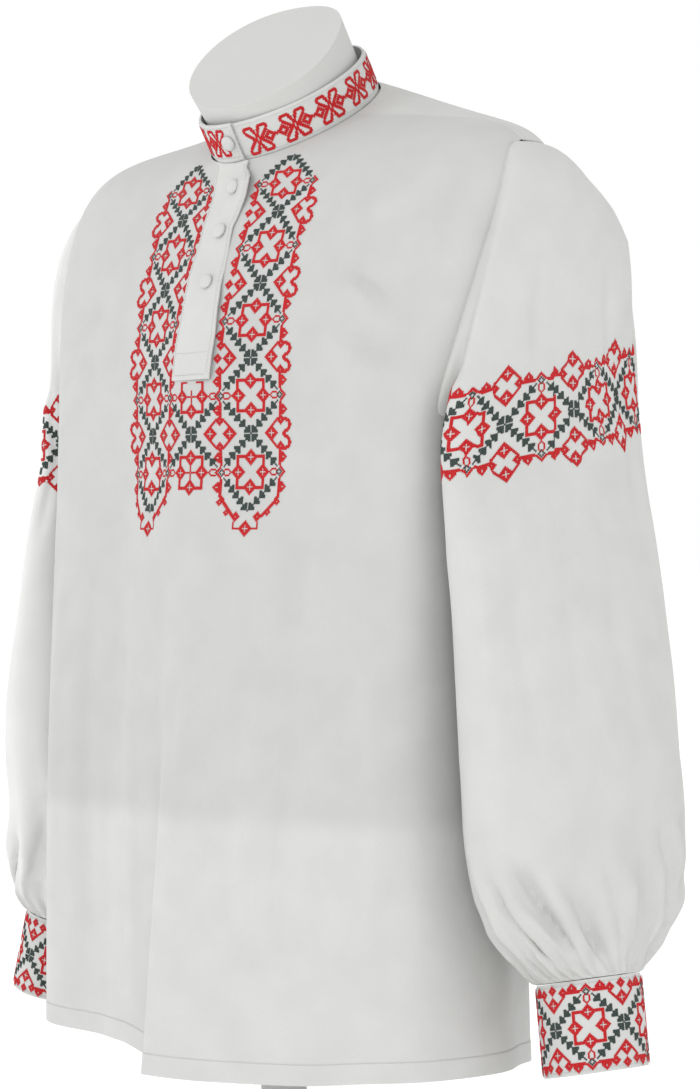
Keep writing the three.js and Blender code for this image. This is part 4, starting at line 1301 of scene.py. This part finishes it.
def panel_chart():
    """A front panel beside the opening. a runs down, b across from the panel's middle outward."""
    chart = Chart()
    rosettes = [HALF_REPEAT + REPEAT * k for k in range(PANEL_ROSETTES)]
    first, last = rosettes[0], rosettes[-1]
    for k in range(PANEL_ROSETTES + 1):
        crossing = k * REPEAT
        if k < PANEL_ROSETTES:
            chart.arms(crossing, 0, 1)
        if k > 0:
            chart.arms(crossing, 0, -1)
        if 0 < k < PANEL_ROSETTES:
            chart.border_rosette(crossing, HALF_BAND + 1, 1, "open")
            inner = "full" if k == PANEL_ROSETTES - 1 else "flat"
            chart.border_rosette(crossing, -HALF_BAND - 1, -1, inner)
    for a in rosettes:
        for out in (1, -1):
            b = out * HALF_BAND
            if a > first:
                chart.border(a - 14, a - 5, b, out, [a - 10])
            chart.border(a + 5, a + (14 if a < last else 16), b, out, [a + 10])
    for a in rosettes:
        chart.rosette(a, 0)
        chart.buds(a)
    panel_foot(chart, last)
    return chart


MIDDLE_CROSSING = 4 * REPEAT
MIDDLE_FIRST_ROW = 172     # the placket covers the rows above


def middle_chart():
    """Two closed rosettes under the placket. a runs down and b to the wearer's left."""
    chart = Chart()
    for way in (-1, 1):
        chart.arms(MIDDLE_CROSSING, 0, way)
    for way, skip in ((-1, [(-10, 0)]), (1, [])):
        a = MIDDLE_CROSSING + way * HALF_REPEAT
        chart.rosette(a, 0, skip)
        chart.closed_petals(a, 0)
        chart.buds(a, borders=False)
    return Chart({cell: colour for cell, colour in chart.items() if cell[0] >= MIDDLE_FIRST_ROW})


COLLAR_PITCH = 28          # cells from one collar motif to the next
COLLAR_MOTIFS = 14
# One petal's outline, in a quarter of the motif: each row is one cell further across from its middle.
PETAL = """
.####.....
.####.....
##.###....
##..###...
##...###..
.##...###.
.##....##.
.###....##
..##....##
..########
...######.
""".split()


def collar_chart():
    """A row of open crosses, each of four petals with a small diamond on each side."""
    chart = Chart()
    petal = [(a, b) for b, row in enumerate(PETAL) for a, mark in enumerate(row) if mark == "#"]
    for k in range(COLLAR_MOTIFS):
        middle = k * COLLAR_PITCH
        for sa in (1, -1):
            if (k > 0 or sa > 0) and (k < COLLAR_MOTIFS - 1 or sa < 0):
                chart.diamond(middle + sa * 9, 0, 4, 1)
                chart.put([(middle + sa * 14, 0), (middle + sa * 14, -1), (middle + sa * 13, 1)])
            for sb in (1, -1):
                chart.put([(middle + sa * a, sb * b) for a, b in petal])
        chart.clear_out([(middle, 0)])
    return chart


# ---- where each chart lies on the cloth ----
PANEL_MIDDLE = 54.5        # X of a panel's middle
PANEL_ROWS = [*range(0, PANEL_TIP, REPEAT), PANEL_TIP]
PANEL_HEIGHTS = [773, 730.5, 676, 620.5, 564.5, 507.5, 488]
PANEL_TOP_STEP = 0.8       # millimetres to a cell above the first row
PANEL_SWING = dict(mm=9.5, start=130, length=130)


def lengths_along(points):
    """The length of a path from its first point to each of its points."""
    return np.concatenate([[0], np.cumsum(np.linalg.norm(np.diff(points, axis=0), axis=1))])


def panel_height(a):
    a = np.asarray(a, float)
    z = np.interp(a, PANEL_ROWS, PANEL_HEIGHTS)
    above = PANEL_HEIGHTS[0] - a * PANEL_TOP_STEP
    below = PANEL_HEIGHTS[-1] - (a - PANEL_TIP) * CELL
    return np.where(a < 0, above, np.where(a > PANEL_TIP, below, z))


def panel_shift(a):
    """The cloth, and the panels on it, swings to the wearer's left lower down."""
    return PANEL_SWING["mm"] * smooth((np.asarray(a, float) - PANEL_SWING["start"]) / PANEL_SWING["length"])


def panel_map(side, middle):
    return lambda a, b: on_front(side * (middle + CELL * b) + panel_shift(a), panel_height(a))


SLEEVE_BAND_Z = 580        # height of the band's middle where y is SLEEVE_BAND_Y
SLEEVE_BAND_Y = 42
SLEEVE_BAND_RISE = 0.19
SLEEVE_BAND_STEP = 1.2     # the sleeve's stitches are this much longer round the arm,
SLEEVE_BACK_STEP = 1.32    # and more so on its outer side
SLEEVE_BAND_START = 34.4   # millimetres from turn 0 to a rosette's middle
SLEEVE_BAND_REPEATS = range(-3, 4)
SLEEVE_BAND_REACH = 135    # millimetres each way from turn 0


def sleeve_band_map(side_row):
    """The band lies level round the upper sleeve and is measured along the cloth."""
    turns = np.linspace(-math.pi, math.pi, 721)
    s = np.linspace(0.0, 2.0, 321)
    p, _ = sleeve_cloth(turns[:, None], s[None, :], side_row)
    height = p[..., 2] - SLEEVE_BAND_RISE * (p[..., 1] - SLEEVE_BAND_Y)
    steps = np.linalg.norm(np.diff(p, axis=1), axis=2)
    down = np.concatenate([np.zeros((len(turns), 1)), np.cumsum(steps, 1)], 1)
    every = np.arange(len(turns))
    low = np.argmax(height < SLEEVE_BAND_Z, axis=1)
    middle_down = down[every, low]
    around = lengths_along(p[every, low])
    around -= np.interp(0, turns, around)

    def place(a, b):
        arc = SLEEVE_BAND_START + a * CELL * np.where(a < 0, SLEEVE_BACK_STEP, SLEEVE_BAND_STEP)
        turn = np.interp(arc, around, turns)
        wanted = np.interp(turn, turns, middle_down) - b * CELL
        column = np.interp(turn, turns, every)
        left = np.clip(column.astype(int), 0, len(turns) - 2)
        found = np.full(wanted.shape, np.nan)
        for k in np.unique(left):
            here = left == k
            s0, s1 = [np.interp(wanted[here], down[j], s, left=np.nan) for j in (k, k + 1)]
            found[here] = s0 + (s1 - s0) * (column[here] - k)
        points, normals = sleeve_cloth(turn, np.nan_to_num(found, nan=0.5), side_row)
        beyond = np.abs(arc) > SLEEVE_BAND_REACH
        points[np.isnan(found) | (found < 0.01) | beyond] = np.nan
        return flip(points, normals, side_row["side"])

    return place


CUFF_BAND_START = 45.3     # millimetres from the cuff's end to the first rosette's middle
CUFF_BAND_DROP = 0.3       # the band lies this far below the cuff's middle
CUFF_BAND_SCALE = (0.915, 0.935)
CUFF_LENGTH = (2 * math.pi + CUFF_LAP) * CUFF_RADIUS
COLLAR_FIRST = 39.5        # millimetres from the collar's lower end to the first motif's middle
COLLAR_BAND_SCALE = 0.97
COLLAR_DROP = dict(mm=2.2, length=150)  # the motifs lie lower at the front


def cuff_map(side_row):
    def place(a, b):
        t = (a * CELL * CUFF_BAND_SCALE[0] + CUFF_BAND_START) / CUFF_LENGTH
        h = 0.5 + (CUFF_BAND_DROP - b * CELL * CUFF_BAND_SCALE[1]) / CUFF_HEIGHT
        return flip(*cuff_cloth(t, h, side_row["swing"]), side_row["side"])

    return place


def collar_map():
    t = np.linspace(0, 1, 2001)
    around = lengths_along(collar_cloth(t, np.full_like(t, 0.5))[0])

    def place(a, b):
        along = COLLAR_FIRST + a * CELL
        drop = COLLAR_DROP["mm"] * smooth(1 - along / COLLAR_DROP["length"])
        h = 0.5 + (b * CELL * COLLAR_BAND_SCALE - drop) / COLLAR_HEIGHT
        return collar_cloth(np.interp(along, around, t), h)

    return place


# ---- stitches ----
STITCH_HALF_WIDTH = 0.42
STITCH_HEIGHT = 0.28
STITCH_REACH = 0.54        # cells from a stitch's middle to its corners
STITCH_LIFTS = (0.04, 0.2)  # the second thread crosses over the first
THREADS = {RED: (RED_THREAD, "thread_red"), BLACK: (BLACK_THREAD, "thread_black")}


def embroider(name, chart, place):
    """Two crossed threads for each cell of the chart, as one mesh for each colour."""
    made = []
    for colour, (material, slot) in THREADS.items():
        cells = np.array(sorted(cell for cell, c in chart.items() if c == colour), float).reshape(-1, 2)
        if not len(cells):
            continue
        corners = {}
        for sa in (-1, 1):
            for sb in (-1, 1):
                corners[sa, sb] = place(cells[:, 0] + sa * STITCH_REACH, cells[:, 1] + sb * STITCH_REACH)
        ok = ~np.isnan(sum(points.sum(-1) for points, _ in corners.values()))
        at = {key: points[ok] for key, (points, _) in corners.items()}
        normal = corners[1, 1][1][ok]
        batches = [
            bars(at[-1, -sb], at[1, sb], normal, STITCH_HALF_WIDTH, STITCH_HEIGHT, lift)
            for sb, lift in zip((1, -1), STITCH_LIFTS)
        ]
        made.append(finish_piece(thread_object(f"{name}_{colour}", batches, material), slot))
    return made


panel_cells = panel_chart()
embroidery = {"front": [
    *embroider("stitches_panel_left", panel_cells, panel_map(1, PANEL_MIDDLE)),
    *embroider("stitches_panel_right", panel_cells, panel_map(-1, PANEL_MIDDLE)),
    *embroider("stitches_middle", middle_chart(), panel_map(1, 0)),
]}
sleeve_chart = band_chart(SLEEVE_BAND_REPEATS, "full")
cuff_chart = band_chart(range(4), "flat")
for side_row in SIDES:
    for kind, chart, place in (
        ("sleeve", sleeve_chart, sleeve_band_map(side_row)), ("cuff", cuff_chart, cuff_map(side_row)),
    ):
        key = f"{kind}_{side_row['name']}"
        embroidery[key] = embroider(f"stitches_{key}", chart, place)
embroidery["collar"] = embroider("stitches_collar", collar_chart(), collar_map())


# ---- sewing: rows of short white stitches ----
SEWING_PITCH = 2.7
SEWING_DASH = 1.9
SEWING_HALF_WIDTH = 0.24
SEWING_HEIGHT = 0.22
SEWING_LIFT = 0.03


def sewing_row(points, normals):
    """Stitches along a path. Returns a batch for thread_object."""
    lengths = lengths_along(points)
    starts = np.arange(SEWING_PITCH / 2, lengths[-1] - SEWING_DASH, SEWING_PITCH)

    def at(values, where):
        return np.stack([np.interp(where, lengths, values[:, k]) for k in range(3)], -1)

    return bars(
        at(points, starts), at(points, starts + SEWING_DASH), at(normals, starts),
        SEWING_HALF_WIDTH, SEWING_HEIGHT, SEWING_LIFT,
    )


def sewing(name, rows):
    return finish_piece(thread_object(name, rows, WHITE_THREAD), "linen")


ARMHOLE_INSET = 0.022      # radians from the armhole's edge to its topstitching
SHOULDER_INSET = 0.03      # radians from the shoulder seam to its topstitching
COLLAR_INSET = 0.075       # shares of a band's height or width from its edge to its topstitching
CUFF_INSET = 0.04
PLACKET_INSET = 0.055
PLACKET_FOOT_V = (0.012, 0.07)
quarter = np.linspace(-math.pi / 2, math.pi / 2, 500)
SEAM_TOP_V = 1.985
seam_v = np.linspace(1 + SHOULDER_W, SEAM_TOP_V, 160)
armhole_turns = np.linspace(0.12, math.pi - 0.1, 240)

rows = [sewing_row(*front_cloth(quarter, np.full_like(quarter, HEM_V)))]
angles, w = armhole_params(armhole_turns)
for side in (1, -1):
    rows.append(sewing_row(*front_cloth(side * (angles - ARMHOLE_INSET), 1 + w)))
sewing_front = sewing("sewing_front", rows)

rows = [sewing_row(*back_cloth(math.pi + quarter, np.full_like(quarter, HEM_V)))]
angles, w = armhole_params(-armhole_turns)
for side in (1, -1):
    rows.append(sewing_row(*back_cloth(side * (angles + ARMHOLE_INSET), 1 + w)))
    rows.append(sewing_row(*back_cloth(side * np.full_like(seam_v, math.pi / 2 + SHOULDER_INSET), seam_v)))
sewing_back = sewing("sewing_back", rows)

t = np.linspace(0.004, 0.996, 400)
end_h = np.linspace(COLLAR_INSET, 1 - COLLAR_INSET, 20)
rows = [sewing_row(*collar_cloth(t, np.full_like(t, h))) for h in (COLLAR_INSET, 1 - COLLAR_INSET)]
rows.append(sewing_row(*collar_cloth(np.full_like(end_h, 0.995), end_h)))
sewing_collar = sewing("sewing_collar", rows)

for side_row in SIDES:
    name, side, swing = side_row["name"], side_row["side"], side_row["swing"]
    paths = [(t, np.full_like(t, h)) for h in (CUFF_INSET, 1 - CUFF_INSET)]
    paths.append((np.full_like(end_h, 0.99), end_h))
    rows = [sewing_row(*flip(*cuff_cloth(*path, swing), side)) for path in paths]
    sewing(f"sewing_cuff_{name}", rows)

edge_v = np.linspace(PLACKET_BOTTOM_V + PLACKET_FOOT_V[0], SEAM_TOP_V, 260)
end_across = np.linspace(PLACKET_INSET, 1 - PLACKET_INSET, 60)
paths = [(np.full_like(edge_v, across), edge_v) for across in (PLACKET_INSET, 1 - PLACKET_INSET)]
paths += [(end_across, np.full_like(end_across, PLACKET_BOTTOM_V + v)) for v in PLACKET_FOOT_V]
sewing_placket = sewing("sewing_placket", [sewing_row(*placket_place(*path)) for path in paths])


# ---- each sleeve's embroidery, taken as a list and not kept ----
for name in ("left", "right"):
    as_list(embroidery[f"sleeve_{name}"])


# ---- floor, backdrop and light ----
def stage_sheet(name, points, material):
    mesh = bpy.data.meshes.new(name)
    mesh.from_pydata(points, [], [list(range(len(points)))])
    mesh.materials.append(material)
    obj = bpy.data.objects.new(name, mesh)
    bpy.context.scene.collection.objects.link(obj)
    return obj


FLOOR = 30                 # half the floor's width in metres
FLOOR_GLOW = 0.14
floor_material, _, floor_shader = new_material("floor", (0.93, 0.93, 0.93), 0.9)
floor_shader.inputs["Emission Color"].default_value = (1, 1, 1, 1)
floor_shader.inputs["Emission Strength"].default_value = FLOOR_GLOW
corners = [(FLOOR * i, FLOOR * j, 0) for i, j in ((-1, -1), (1, -1), (1, 1), (-1, 1))]
stage_sheet("floor", corners, floor_material)

world = bpy.data.worlds.new("studio")
world.use_nodes = True
world.node_tree.nodes["Background"].inputs["Color"].default_value = (1, 1, 1, 1)
world.node_tree.nodes["Background"].inputs["Strength"].default_value = 1.0
bpy.context.scene.world = world
bpy.context.scene.view_settings.view_transform = "Standard"


def soft_light(name, place, target, size, power):
    data = bpy.data.lights.new(name, "AREA")
    data.shape = "DISK"
    data.size = size
    data.energy = power
    light = bpy.data.objects.new(name, data)
    light.location = place
    aim = [t - p for t, p in zip(target, place)]
    rise = math.atan2(aim[2], math.hypot(aim[0], aim[1]))
    light.rotation_euler = (math.pi / 2 + rise, 0, math.atan2(aim[1], aim[0]) - math.pi / 2)
    bpy.context.scene.collection.objects.link(light)


# Places, targets and sizes are in metres and powers in watts.
LIGHTS = table(
    "name place target size power",
    ("key", (-1.2, -3.2, 2.6), (0, 0, 0.5), 1.6, 28),
    ("front", (2.3, -2.1, 0.8), (0, 0, 0.5), 1.2, 20),
    ("side", (-2.7, -1.0, 0.8), (-0.25, 0, 0.45), 1.6, 16),
    ("fill", (3.4, -0.4, 1.6), (0.1, 0, 0.5), 2.4, 14),
)
for row in LIGHTS:
    soft_light(**row)
